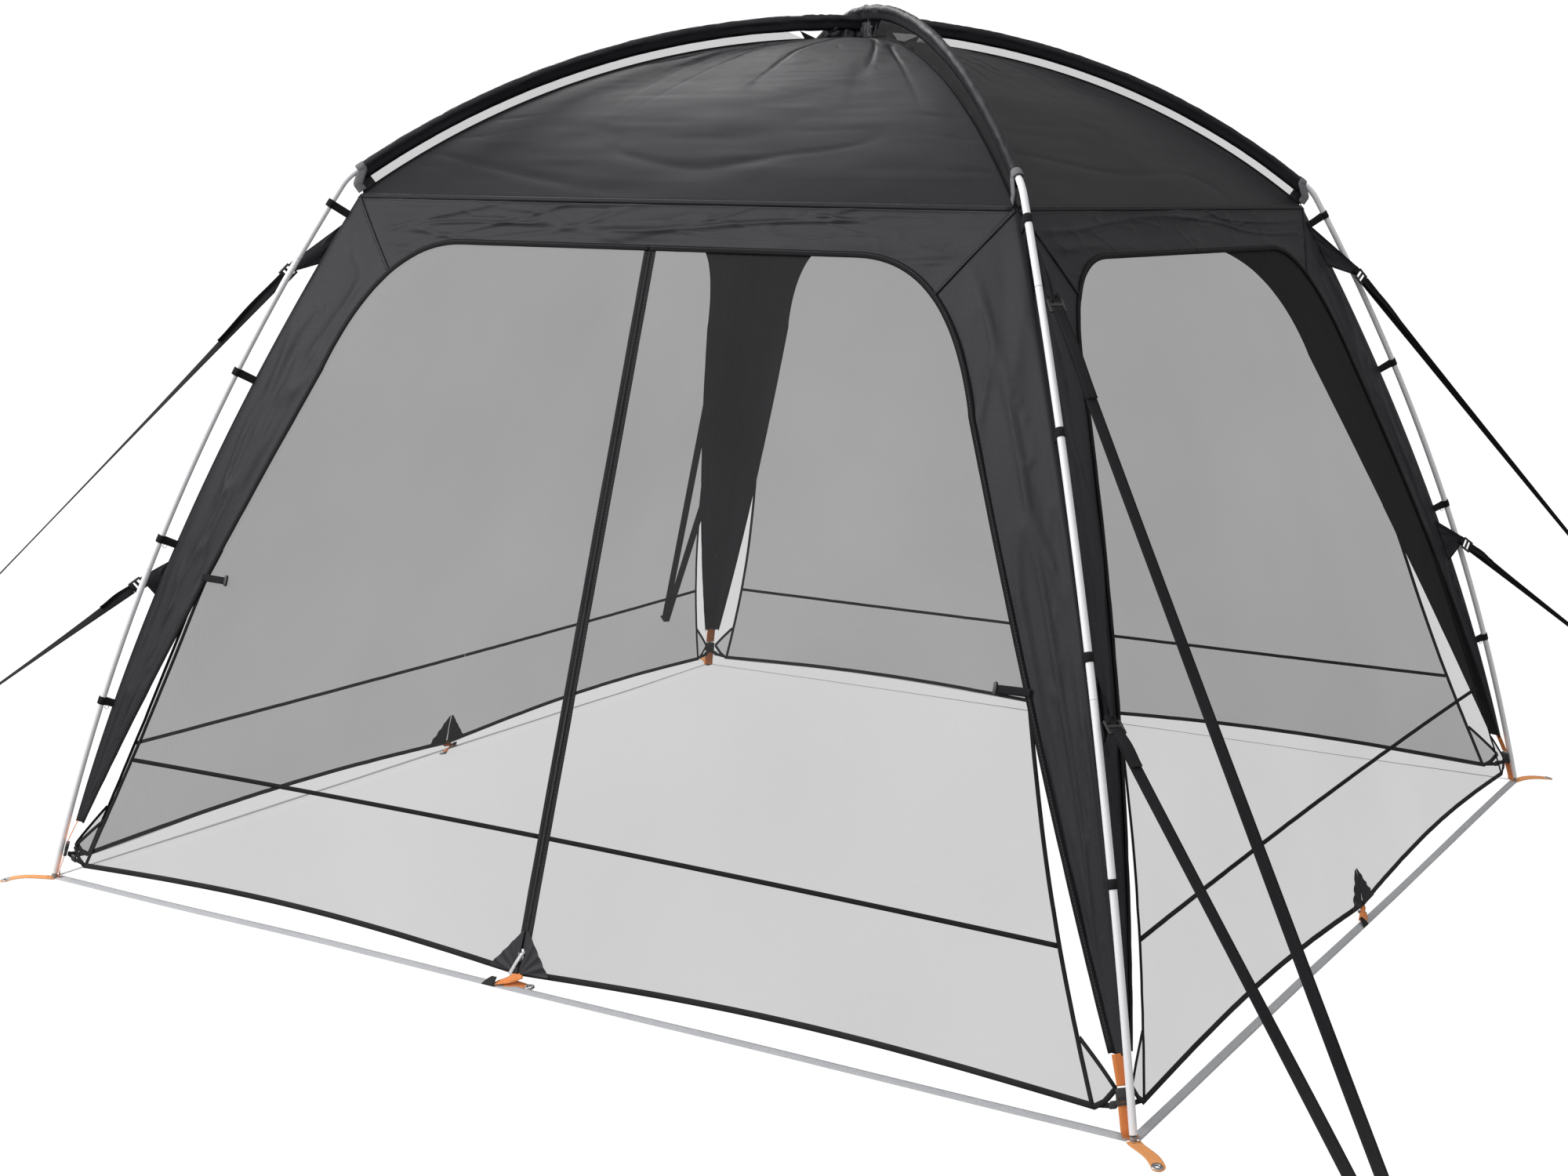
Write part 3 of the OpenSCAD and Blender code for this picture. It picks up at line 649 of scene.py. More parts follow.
# ---- Vent strips -----------------------------------------------------------------------------
# Open black mesh between each sleeve's flange and the roof's ridge, which shows pale where light
# comes through it. It ends in a slant near the crossing, where a crumpled black net fills the gap.
def make_net_group():
    """The knitted holes, as how much of the surface the threads cover, from place to place."""
    group, given, result = node_group(
        "insect mesh", {"Cover": 0.38, "Pitch": 0.0016}, {"Alpha": "NodeSocketFloat"})
    place = group.nodes.new("ShaderNodeTexCoord")
    split = group.nodes.new("ShaderNodeSeparateXYZ")
    wire(group, place, "UV", split, 0)
    threads = []
    for axis in ("X", "Y"):
        turns = math_node(group, "DIVIDE", (split, axis), (given, "Pitch"))
        wave = math_node(group, "SINE", (math_node(group, "MULTIPLY", (turns, 0), 2 * math.pi), 0))
        threads.append(math_node(group, "MAXIMUM", (wave, 0), 0.0))
    height = math_node(group, "MAXIMUM", (threads[0], 0), (threads[1], 0))
    stretch = group.nodes.new("ShaderNodeTexNoise")
    stretch.inputs["Scale"].default_value = 1.4
    stretch.inputs["Detail"].default_value = 3.0
    wire(group, place, "Object", stretch, "Vector")
    uneven = math_node(group, "MULTIPLY", (math_node(group, "SUBTRACT", (stretch, "Fac"), 0.5), 0), 0.10)
    fine = math_node(group, "MULTIPLY", (math_node(group, "SUBTRACT", (height, 0), 0.5), 0), 0.16)
    cover = math_node(group, "ADD", (given, "Cover"), (uneven, 0))
    alpha = math_node(group, "ADD", (cover, 0), (fine, 0))
    wire(group, alpha, 0, result, "Alpha")
    return group


net_group = make_net_group()


def net_material(name, cover, dark, light):
    material = painted(name, dark, light, 0.8, specular=0.1, wear_values={"Blotch": 4.0, "Grain": 300.0})
    tree = material.node_tree
    net = tree.nodes.new("ShaderNodeGroup")
    net.node_tree = net_group
    net.inputs["Cover"].default_value = cover
    wire(tree, net, "Alpha", tree.nodes["Principled BSDF"], "Alpha")
    return material


vent_mesh = net_material("vent mesh", 0.24, (0.020, 0.020, 0.021), (0.050, 0.050, 0.052))
# The near strip gets a denser, darker copy of the vent mesh: painted shade of its sleeve.
shaded_near_vent_mesh = net_material("vent mesh of the near strip, painted shade", 0.66, (0.012, 0.012, 0.013), (0.030, 0.030, 0.032))
VENT_ENDS = (0.150, 1.268)
VENT_SLANT = 0.055
VENT_ROWS = 7


def sleeve_bottom(k, r):
    inside = pole_r(k) - SLEEVE_R - FLANGE_H + 0.004
    return pole_apex(k) - pole_r(k) + np.sqrt(inside ** 2 - r ** 2)


def vent_band(name, i, start, end, low_share, high_share, material, slot_name, slant=VENT_SLANT):
    """A band of the strip at corner i, between two shares of its height."""
    columns = 160
    share = np.linspace(0, 1, columns)[None, :]
    level = np.linspace(low_share, high_share, VENT_ROWS)[:, None]
    r = (start + slant * level) + (end - start - slant * 0.7 * level) * share
    low = ridge_z(r) + 0.001
    high = sleeve_bottom(i, r)
    z = low + (high - low) * level
    pucker = soft_noise(r * 26, level * 1.4, 61 + i) * 0.0014 * np.sin(math.pi * level)
    radial = (r.ravel(), pucker.ravel(), z.ravel())
    points = np.array([corner_point(i, a, b, c) for a, b, c in zip(*radial)]).reshape(VENT_ROWS, columns, 3)
    uvs = np.stack([r + 0 * level, z], axis=-1)
    return cloth_sheet(name, points, uvs, material, 0.0008), wall_area(points)


for i, corner in enumerate(CORNERS):
    # The near strip takes the copy of the mesh with painted shade.
    net = shaded_near_vent_mesh if i == 0 else vent_mesh
    strip, cut = vent_band(f"vent_mesh_{corner}", i, *VENT_ENDS, 0.06, 0.94, net, "vent_mesh")
    vent_band(f"vent_tape_low_{corner}", i, VENT_ENDS[0] - 0.01, VENT_ENDS[1] + 0.004, -0.02, 0.14,
              binding_cloth, "canopy_cloth")
    vent_band(f"vent_end_inner_{corner}", i, VENT_ENDS[0] - 0.034, VENT_ENDS[0] + 0.001, 0.0, 1.0,
              binding_cloth, "canopy_cloth")
    vent_band(f"vent_end_outer_{corner}", i, VENT_ENDS[1] - 0.004, VENT_ENDS[1] + 0.030, -0.04, 1.04,
              black_cloth, "canopy_cloth", 0.3 * VENT_SLANT)
    if i == 0:
        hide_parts("vent_strips")

crumple_net = painted("crumpled black net", (0.008, 0.008, 0.010), (0.045, 0.045, 0.050), 0.45, specular=0.4,
                      pattern=weave_group, pattern_values={"Thread": 0.002, "Grid": 0.004}, bump=0.8,
                      wear_values={"Blotch": 20.0, "Grain": 300.0})
for k in range(2):
    columns = 60
    rows = 12
    share = np.linspace(-1, 1, columns)[None, :]
    level = np.linspace(0, 1, rows)[:, None]
    r = 0.105 * share * (1 - 0.25 * level)
    z = ridge_z(np.abs(r)) + 0.002 + (sleeve_bottom(k, r) - ridge_z(np.abs(r)) + 0.004) * level
    wrinkle = creases(r * 60 + 5, level * 2.0 + 2, 71 + k) * 0.010
    wrinkle = wrinkle + soft_noise(r * 45, level * 3, 73 + k) * 0.004
    points = np.array([corner_point(k, a, b, c) for a, b, c in
                       zip(r.ravel(), (wrinkle + 0 * r).ravel(), z.ravel())]).reshape(rows, columns, 3)
    uvs = np.stack([r + 0 * level, z], axis=-1)
    cloth_sheet(f"crossing_gusset_{k}", points, uvs, crumple_net, 0.0008)

# ---- Wall surface ----------------------------------------------------------------------------
# Every wall is drawn as (x along the wall, z up). It leans inwards and bows out towards the legs,
# where it meets the folded leg fabric. The front wall stays straight along its zip.
FABRIC_FOOT_R = FOOT_R - 0.016
FABRIC_BOW = 0.076
WALL_FOOT = 1.486
SEAM_X = CORNER_R / math.sqrt(2)
WALL_TILT = math.atan((WALL_FOOT - SEAM_X) / SEAM_H)
OUTWARD = np.array([0.0, -math.cos(WALL_TILT), math.sin(WALL_TILT)])
UPWARD = np.array([0.0, math.sin(WALL_TILT), math.cos(WALL_TILT)])


def fabric_w(z):
    """Half the width between the folded corners at height z, which is also their distance out."""
    t = z / SEAM_H
    return (FABRIC_FOOT_R + (CORNER_R - FABRIC_FOOT_R) * t + 4 * FABRIC_BOW * t * (1 - t)) / math.sqrt(2)


def wall_point(k, x, z, lift=0.0):
    """Points on wall k, lifted outwards."""
    x, z = np.broadcast_arrays(np.asarray(x, float), np.asarray(z, float))
    plane = WALL_FOOT - (WALL_FOOT - SEAM_X) * z / SEAM_H
    middle = 0.0 if k == 0 else 0.5
    bow = middle + (1 - middle) * (np.abs(x) / fabric_w(z)) ** 2
    y = -(plane + (fabric_w(z) - plane) * bow)
    flat = np.stack([x, y, z], axis=-1) + OUTWARD * np.asarray(lift, float)[..., None]
    return wall_turn(k, flat)


WINDOW_TOP = 1.635
WINDOW_FLAT = 0.560
WINDOW_SIDE = (0.913, 1.313)
LEG_EDGE_X = 1.433
LEG_END_H = 0.150


def window_curve(t):
    """The window's rounded corner, from the straight top edge (0) to its side (1)."""
    t = np.asarray(t, float)[..., None]
    a = np.array([WINDOW_FLAT, WINDOW_TOP])
    b = np.array([0.800, WINDOW_TOP])
    c = np.array(WINDOW_SIDE)
    return (1 - t) ** 2 * a + 2 * t * (1 - t) * b + t ** 2 * c


def leg_edge(z):
    """The leg fabric's inner edge at height z, from the wall's middle."""
    down = (WINDOW_SIDE[1] - z) / (WINDOW_SIDE[1] - LEG_END_H)
    return WINDOW_SIDE[0] + (LEG_EDGE_X - WINDOW_SIDE[0]) * down


MITRE = window_curve(np.array(0.5))


def resample(line, steps):
    """The same line with evenly spread points. Works in two or three dimensions."""
    line = np.asarray(line, float)
    run = np.concatenate([[0], np.cumsum(np.linalg.norm(np.diff(line, axis=0), axis=1))])
    want = np.linspace(0, run[-1], steps)
    return np.stack([np.interp(want, run, line[:, k]) for k in range(line.shape[1])], axis=1)


# ---- Valances --------------------------------------------------------------------------------
# A band of cloth between the roof seam and the window, mitred to the leg fabric at both ends.
# It hangs between tight seams, so shallow creases run along it.
for k, side_name in enumerate(SIDES):
    columns = 230
    rows = 36
    curve = window_curve(np.linspace(0.5, 0, 12))
    low = resample(np.concatenate([curve * [-1, 1], curve[::-1]]), columns)
    high = np.stack([np.linspace(-SEAM_X, SEAM_X, columns), np.full(columns, SEAM_H)], axis=1)
    level = np.linspace(0, 1, rows)[:, None]
    x = low[None, :, 0] * (1 - level) + high[None, :, 0] * level
    z = low[None, :, 1] * (1 - level) + high[None, :, 1] * level
    ends = np.clip((1 - np.abs(np.linspace(-1, 1, columns))) * 14, 0, 1)[None, :]
    hold = np.sin(math.pi * level) ** 0.6 * ends
    folds = creases(x * 2.4 + z * 7, z * 22, 81 + 5 * k) * 0.0052
    folds += creases(x * 5.5 - z * 16, z * 13 + 4, 82 + 5 * k) * 0.0034
    folds += creases(x * 9 + z * 11, z * 38, 85 + 5 * k) * 0.0016
    waves = soft_noise(x * 3.3, z * 12, 83 + 5 * k) * 0.0050 + soft_noise(x * 11, z * 44, 84 + 5 * k) * 0.0010
    points = wall_point(k, x, z, 0.0025 + (folds + waves - 0.002) * hold)
    valance = cloth_sheet(f"valance_{side_name}", points, np.stack([x, z], axis=-1), black_cloth)
    if k == 0:
        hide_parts("valances")

# ---- Leg fabric ------------------------------------------------------------------------------
# Long tapering strips folded on the shelter's corner, pulled to the foot by the orange strap.
# Pull lines run along them, deepest near the fold and above the foot.
for i, corner in enumerate(CORNERS):
    rows = 260
    half = 22
    t = np.linspace(0, 1, rows)
    fold_z = LEG_END_H + (SEAM_H - LEG_END_H) * t
    outer = np.stack([fabric_w(fold_z), fold_z], 1)
    outer[-1, 0] = SEAM_X
    side_line = [(leg_edge(z), z) for z in np.linspace(LEG_END_H, WINDOW_SIDE[1], 24)]
    curve_line = window_curve(np.linspace(0.96, 0.5, 12))
    inner = resample(np.concatenate([side_line, curve_line]), rows)
    share = np.linspace(0, 1, half)[None, :]
    faces_of_leg = []
    for wall, mirror in ((i, 1), (i + 1, -1)):
        x = (inner[:, :1] * (1 - share) + outer[:, :1] * share)
        z = (inner[:, 1:] * (1 - share) + outer[:, 1:] * share)
        run = t[:, None]
        width = outer[:, :1] - inner[:, :1]
        pull = creases(share * 3.2 + 0.6 * run, run * 4.5 + 2 * mirror, 101 + 9 * i + mirror) * 0.0060
        pull += creases(share * 6.5 - 1.4 * run, run * 8.0, 103 + 9 * i + mirror) * 0.0030
        waves = soft_noise(share * 2.4, run * 6, 105 + 9 * i + mirror) * 0.0050
        hold = np.sin(math.pi * np.clip(share, 0, 1)) ** 0.5 * np.clip(width / 0.10, 0.1, 1)
        hold = hold * np.clip((1 - run) * 14, 0, 1)
        points = wall_point(wall % 4, x * mirror, z, 0.002 + (pull + waves - 0.003) * hold)
        faces_of_leg.append((points, x * mirror, z))
    first_half, second_half = faces_of_leg
    joined = np.concatenate([first_half[0], second_half[0][:, ::-1][:, 1:]], axis=1)
    turned_x = 2 * first_half[1][:, -1:] + second_half[1][:, ::-1][:, 1:]
    corner_x = np.concatenate([first_half[1], turned_x], axis=1)
    corner_z = np.concatenate([first_half[2], second_half[2][:, ::-1][:, 1:]], axis=1)
    seam_col = half - 1
    joined[:, seam_col] = [corner_point(i, w * math.sqrt(2) + 0.002, 0, z) for w, z in outer]
    leg = cloth_sheet(f"leg_cloth_{corner}", joined, np.stack([corner_x, corner_z], -1), black_cloth)
    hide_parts(f"leg_fabric_{corner}")

# ---- Mesh walls ------------------------------------------------------------------------------
# Fine black insect mesh, see-through, one sheet a wall. It laps behind the leg fabric down to
# where it leaves it, then hangs free to the hem with a slight inward curve at its side edges.
MESH_SPLIT_H = 0.760
MESH_FOOT_X = 1.412
HEM_H = 0.038
HEM_MID_H = 0.028
HEM_RISE = 0.024
LAP = 0.012
SIDE_CURVE = 0.014


def hem_z(x):
    share = np.abs(x) / MESH_FOOT_X
    return HEM_MID_H + (HEM_H - HEM_MID_H) * share + HEM_RISE * np.sin(math.pi * np.clip(share, 0, 1))


def free_edge(z):
    """The mesh's side edge between the hem and the leg fabric."""
    share = (z - HEM_H) / (MESH_SPLIT_H - HEM_H)
    straight = MESH_FOOT_X + (leg_edge(MESH_SPLIT_H) - MESH_FOOT_X) * share
    return straight - SIDE_CURVE * np.sin(math.pi * np.clip(share, 0, 1))


def mesh_side_line():
    """Side edge of a mesh wall from the window's top to the hem."""
    curve = window_curve(np.linspace(0, 1, 14)) + [LAP, LAP * 0.7]
    lapped = [(leg_edge(z) + LAP, z) for z in np.linspace(WINDOW_SIDE[1] - 0.03, MESH_SPLIT_H + 0.03, 10)]
    free = [(free_edge(z), z) for z in np.linspace(MESH_SPLIT_H, HEM_H, 24)]
    return np.concatenate([curve, lapped, free])


insect_mesh = net_material("insect mesh", 0.414, (0.036, 0.036, 0.038), (0.070, 0.070, 0.073))
# The far walls get a darker, denser copy of the same mesh: painted shade.
shaded_far_mesh = net_material("insect mesh of the far walls, painted shade", 0.455, (0.030, 0.030, 0.032), (0.060, 0.060, 0.062))
mesh_sides = resample(mesh_side_line(), 120)
DOOR_SLACK = 0.4


def mesh_panel(name, k, shares, sign=1, inner_x=0.0):
    """The mesh on wall k, between shares of the way from inner_x to its side edge."""
    share = np.asarray(shares, float)[None, :]
    x = sign * (inner_x + (mesh_sides[:, :1] - inner_x) * share)
    base = mesh_sides[:, 1:]
    near_hem = np.clip(1 - (base - HEM_H) / 0.30, 0, 1) ** 2
    z = base + (hem_z(x) - HEM_H) * near_hem
    slack = soft_noise(x * 2.3 + 5, z * 2.6, 121 + k) * 0.006 + soft_noise(x * 7, z * 5, 123 + k) * 0.0012
    hold = np.clip((1 - np.abs(share)) * 12, 0, 1) * np.clip((WINDOW_TOP - base) * 8, 0, 1)
    points = wall_point(k, x, z, slack * hold * (DOOR_SLACK if k == 0 else 1.0))
    rows, columns = points.shape[:2]
    uvs = np.stack([x, z], axis=-1).reshape(-1, 2)
    sheet = mesh_object(name, points.reshape(-1, 3), grid_faces(rows, columns), uvs)
    sheet.data.materials.append(insect_mesh if k in (0, 1) else shaded_far_mesh)
    return sheet, wall_area(points)


for k in (1, 2, 3):
    side_name = SIDES[k]
    net, cut = mesh_panel(f"mesh_{side_name}", k, np.linspace(-1, 1, 150))
    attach(net, "canopy")
    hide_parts(f"mesh_wall_{side_name}")

# ---- Door ------------------------------------------------------------------------------------
# The front wall's mesh is cut up the middle. Each half hangs from the valance and its leg.
# The zip halves ride on the door bodies.
DOORS = (("left", -1), ("right", 1))
DOOR_INNER_X = 0.006


def door_blend(piece):
    """The piece's placement, baked into its mesh."""
    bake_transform(piece)


for side_name, sign in DOORS:
    net, cut = mesh_panel(f"door_mesh_{side_name}_net", 0, np.linspace(0, 1, 90), sign, DOOR_INNER_X)
    door_blend(net)
    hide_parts(f"door_mesh_{side_name}")

# ---- Bindings, tapes and patches -------------------------------------------------------------
# Black woven tape folded over every free mesh edge and round the window, a tape across each
# wall, small mesh gussets at the bottom corners and a triangular patch at the middle of each hem.


def wall_band(name, k, line, width, lift, material=None, body="canopy",
              puff=0.0022, steps=None):
    """A tape along a line of wall coordinates, centred on it, slightly rounded over its width."""
    line = np.asarray(line, float)
    length = np.linalg.norm(np.diff(line, axis=0), axis=1).sum()
    line = resample(line, steps or max(6, int(length / 0.018)))
    along = np.gradient(line, axis=0)
    along /= np.linalg.norm(along, axis=1)[:, None]
    across = np.stack([-along[:, 1], along[:, 0]], axis=1)
    shares = np.linspace(-0.5, 0.5, 5)
    profile = puff * (1 - (2 * shares) ** 2 * 0.7)
    run = np.concatenate([[0], np.cumsum(np.linalg.norm(np.diff(line, axis=0), axis=1))])
    waver = 0.0006 * soft_noise(run * 30, 0 * run, 131)
    points = np.empty((len(line), 5, 3))
    uvs = np.empty((len(line), 5, 2))
    for j, share in enumerate(shares):
        spot = line + across * (share * width)
        points[:, j] = wall_point(k, spot[:, 0], spot[:, 1], lift + profile[j] + waver)
        uvs[:, j, 0] = share * width
        uvs[:, j, 1] = run
    return cloth_sheet(name, points, uvs, material or binding_cloth, 0.0016, body)


HEM_BAND_W = 0.0125
SIDE_BAND_W = 0.009
TAPE_H = 0.325
TAPE_W = 0.010
WINDOW_BAND_W = 0.013
PATCH_W = 0.085
PATCH_H = 0.092
BAND_LIFT = 0.0006


def hem_run(x0, x1):
    xs = np.linspace(x0, x1, 40)
    return np.stack([xs, hem_z(xs) + HEM_BAND_W / 2], axis=1)


def side_run(sign):
    zs = np.linspace(HEM_H + 0.004, MESH_SPLIT_H + 0.10, 40)
    xs = np.where(zs < MESH_SPLIT_H, free_edge(zs), leg_edge(zs) + 0.002)
    return np.stack([sign * (xs - SIDE_BAND_W / 2), zs], axis=1)


GUSSET_H = 0.165
GUSSET_BEND = (1.418, 0.118)
GUSSET_TIP = (1.449, 0.086)
GUSSET_LOW = (1.430, 0.058)
GUSSET_ROOT = (1.410, HEM_H + 0.006)
GUSSET_ROWS = 12


def gusset_line(sign):
    """Outer edge of the corner gusset: it leaves the side edge and curves out to the leg."""
    a = np.array([free_edge(GUSSET_H), GUSSET_H])
    t = np.linspace(0, 1, GUSSET_ROWS)[:, None]
    line = (1 - t) ** 2 * a + 2 * t * (1 - t) * np.array(GUSSET_BEND) + t ** 2 * np.array(GUSSET_TIP)
    return line * [sign, 1]


def corner_trim(label, k, sign, finish_piece):
    """Bindings of one bottom corner of a wall, with its mesh gusset."""
    edge = gusset_line(sign)
    low = np.array([GUSSET_TIP, GUSSET_LOW, GUSSET_ROOT]) * [sign, 1]
    side_z = np.linspace(GUSSET_H, GUSSET_ROOT[1], GUSSET_ROWS)
    side = np.stack([sign * free_edge(side_z), side_z], axis=1)
    far_side = resample(np.concatenate([edge, low[1:]]), GUSSET_ROWS)
    columns = 5
    share = np.linspace(0, 1, columns)[None, :, None]
    spots = side[:, None] * (1 - share) + far_side[:, None] * share
    points = wall_point(k, spots[..., 0], spots[..., 1], 0.0004)
    net = mesh_object(f"gusset_{label}", points.reshape(-1, 3), grid_faces(GUSSET_ROWS, columns),
                      spots.reshape(-1, 2))
    net.data.materials.append(insect_mesh)
    pieces = [net, wall_band(f"gusset_edge_{label}", k, edge, 0.008, BAND_LIFT, body=None),
              wall_band(f"gusset_low_{label}", k, low, 0.011, BAND_LIFT + 0.001, body=None)]
    for piece in pieces:
        finish_piece(piece)


def ride_canopy(piece):
    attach(piece, "canopy")


PLEATS = 16.0
PATCH_INNER_X = 0.0035


def patch_points(k, sign, lift, low):
    """Half of a hem's triangular patch, pleated towards its tip."""
    rows, columns = 30, 48
    share = np.linspace(0, 1, columns)[None, :]
    level = np.linspace(0, 1, rows)[:, None]
    x = sign * (PATCH_INNER_X + (PATCH_W - PATCH_INNER_X) * share * (1 - level * 0.94))
    z = low + (hem_z(x) - HEM_MID_H) * (1 - level) + PATCH_H * level
    fan = np.arctan2(np.abs(x), z - low + 0.004)
    reach = np.clip(np.hypot(x, z - low) / 0.05, 0, 1)
    pleat = 0.0042 * (0.5 + 0.5 * np.cos(fan * PLEATS + 0.7 * sign)) ** 2 * reach * (1 - level * 0.7)
    return wall_point(k, x, z, lift + pleat), np.stack([x, z], axis=-1)


HALVES = ((-1, "l"), (1, "r"))
for k, side_name in enumerate(SIDES):
    for sign, half_name in HALVES:
        label = f"{side_name}_{half_name}"
        door_name = "left" if sign < 0 else "right"
        finish_piece = ride_canopy if k else (lambda piece, d=door_name, s=sign: door_blend(piece))
        start_x = sign * (0.002 if k else 0.016)
        hem = wall_band(f"hem_{label}", k, hem_run(sign * 0.0015, sign * MESH_FOOT_X), HEM_BAND_W, BAND_LIFT,
                        body=None)
        side = wall_band(f"side_binding_{label}", k, side_run(sign), SIDE_BAND_W, BAND_LIFT, body=None)
        tape_end = sign * (free_edge(TAPE_H) - SIDE_BAND_W)
        tape = wall_band(f"cross_tape_{label}", k, [(start_x, TAPE_H), (tape_end, TAPE_H)], TAPE_W, BAND_LIFT,
                         body=None, puff=0.0014)
        for piece in (hem, side, tape):
            finish_piece(piece)
        if k == 0:
            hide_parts(f"door_trim_{door_name}")
        elif label == "right_l":
            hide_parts("wall_trim")
        corner_trim(label, k, sign, finish_piece)
        edge = [(sign * (leg_edge(z) - 0.001), z) for z in np.linspace(LEG_END_H, WINDOW_SIDE[1], 30)]
        curve = window_curve(np.linspace(1, 0, 24)) * [sign, 1]
        wall_band(f"window_binding_{label}", k, np.concatenate([edge, curve, [(sign * 0.001, WINDOW_TOP)]]),
                  WINDOW_BAND_W, 0.0040)
        if k:
            points, uvs = patch_points(k, sign, 0.0050, HEM_MID_H + 0.002)
            cloth_sheet(f"hem_patch_{label}", points, uvs, black_cloth, 0.0012)

# ---- Seams and stitching ---------------------------------------------------------------------
# Felled seams: a narrow folded ridge with a row of thread on each side.
thread = painted("black thread", (0.020, 0.020, 0.022), (0.070, 0.070, 0.075), 0.6, specular=0.4,
                 wear_values={"Blotch": 60.0, "Grain": 900.0})


STITCH_H = 0.0007


def stitch_rows(name, rows_of_points, out, body="canopy", pitch=0.0075, length=0.0050, width=0.0011):
    """Short raised threads along lines. out is the outward unit direction of each line."""
    points = []
    faces = []
    for line, outward in zip(rows_of_points, out):
        line = np.asarray(line, float)
        total = np.linalg.norm(np.diff(line, axis=0), axis=1).sum()
        count = max(2, int(total / pitch))
        spots = between(line, 2 * count + 1)
        way = np.gradient(spots, axis=0)
        way /= np.linalg.norm(way, axis=1)[:, None]
        outward = np.asarray(outward, float)
        for spot, ahead in zip(spots[1::2], way[1::2]):
            side = np.cross(outward, ahead)
            base = len(points)
            for end, rise in ((-0.5, 0.15), (0.0, 1.0), (0.5, 0.15)):
                centre = spot + ahead * (end * length) + outward * (STITCH_H * rise)
                points.extend([centre - side * width / 2, centre + side * width / 2,
                               centre - outward * STITCH_H])
            for j in range(2):
                a = base + 3 * j
                b = a + 3
                faces.extend([(a, b, b + 1, a + 1), (a + 1, b + 1, b + 2, a + 2), (a + 2, b + 2, b, a)])
            faces.extend([(base, base + 1, base + 2), (base + 8, base + 7, base + 6)])
    rows = mesh_object(name, points, faces, smooth=False)
    rows.data.materials.append(thread)
    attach(rows, body)
    return rows


SEAM_W = 0.011
for k, side_name in enumerate(SIDES):
    xs = np.linspace(-SEAM_X + 0.006, SEAM_X - 0.006, 90)
    seam_line = np.stack([xs, np.full(90, SEAM_H - 0.004)], axis=1)
    wall_band(f"roof_seam_{side_name}", k, seam_line, SEAM_W, 0.0028, roof_cloth, puff=0.0024)
    rows = [wall_point(k, xs, np.full(90, SEAM_H - 0.004 + off), 0.0062) for off in (-0.0085, 0.0030)]
    outs = [wall_turn(k, OUTWARD)] * 2
    for sign, half_name in HALVES:
        mitre_line = np.array([MITRE * [sign, 1] + [0.0, 0.004], [sign * SEAM_X, SEAM_H - 0.006]])
        wall_band(f"mitre_seam_{side_name}_{half_name}", k, mitre_line, 0.009, 0.0028, black_cloth,
                  steps=24)
        way = (mitre_line[1] - mitre_line[0]) / np.linalg.norm(mitre_line[1] - mitre_line[0])
        for off in (-0.0026, 0.0026):
            spots = resample(mitre_line, 24) + np.array([-way[1], way[0]]) * off
            rows.append(wall_point(k, spots[:, 0], spots[:, 1], 0.0066))
            outs.append(wall_turn(k, OUTWARD))
        curve = window_curve(np.linspace(1, 0, 24)) * [sign, 1]
        edge = np.array([(sign * leg_edge(z), z) for z in np.linspace(LEG_END_H + 0.02, WINDOW_SIDE[1], 30)])
        window_run = np.concatenate([edge, curve, [(0.0, WINDOW_TOP)]])
        rows.append(wall_point(k, window_run[:, 0], window_run[:, 1] + 0.0025, 0.0076))
        outs.append(wall_turn(k, OUTWARD))
    stitch_rows(f"stitching_{side_name}", rows, outs)

# ---- Zip -------------------------------------------------------------------------------------
# A black coil zip on woven tape, from the hem to the valance. Each half is stitched to its door
# half and rides with it, and the lower end is sewn into half of a pleated patch.
ZIP_EDGE = 0.0010
ZIP_OVERLAP = 0.0016
COIL_PITCH = 0.0036
ZIP_HALF_W = 0.016
ZIP_LOW = 0.031
ZIP_TOP = WINDOW_TOP + 0.004
zip_tape = painted("zip tape", (0.005, 0.005, 0.006), (0.016, 0.016, 0.018), 0.75, specular=0.15,
                   pattern=rib_group, pattern_values={"Pitch": 0.0012, "Slant": 0.2}, bump=0.7,
                   wear_values={"Blotch": 10.0, "Grain": 700.0}, dust=0.08)
coil_nylon = painted("zip coil", (0.012, 0.012, 0.013), (0.040, 0.040, 0.042), 0.38, specular=0.5,
                     bump=0.3, wear_values={"Blotch": 30.0, "Grain": 900.0})

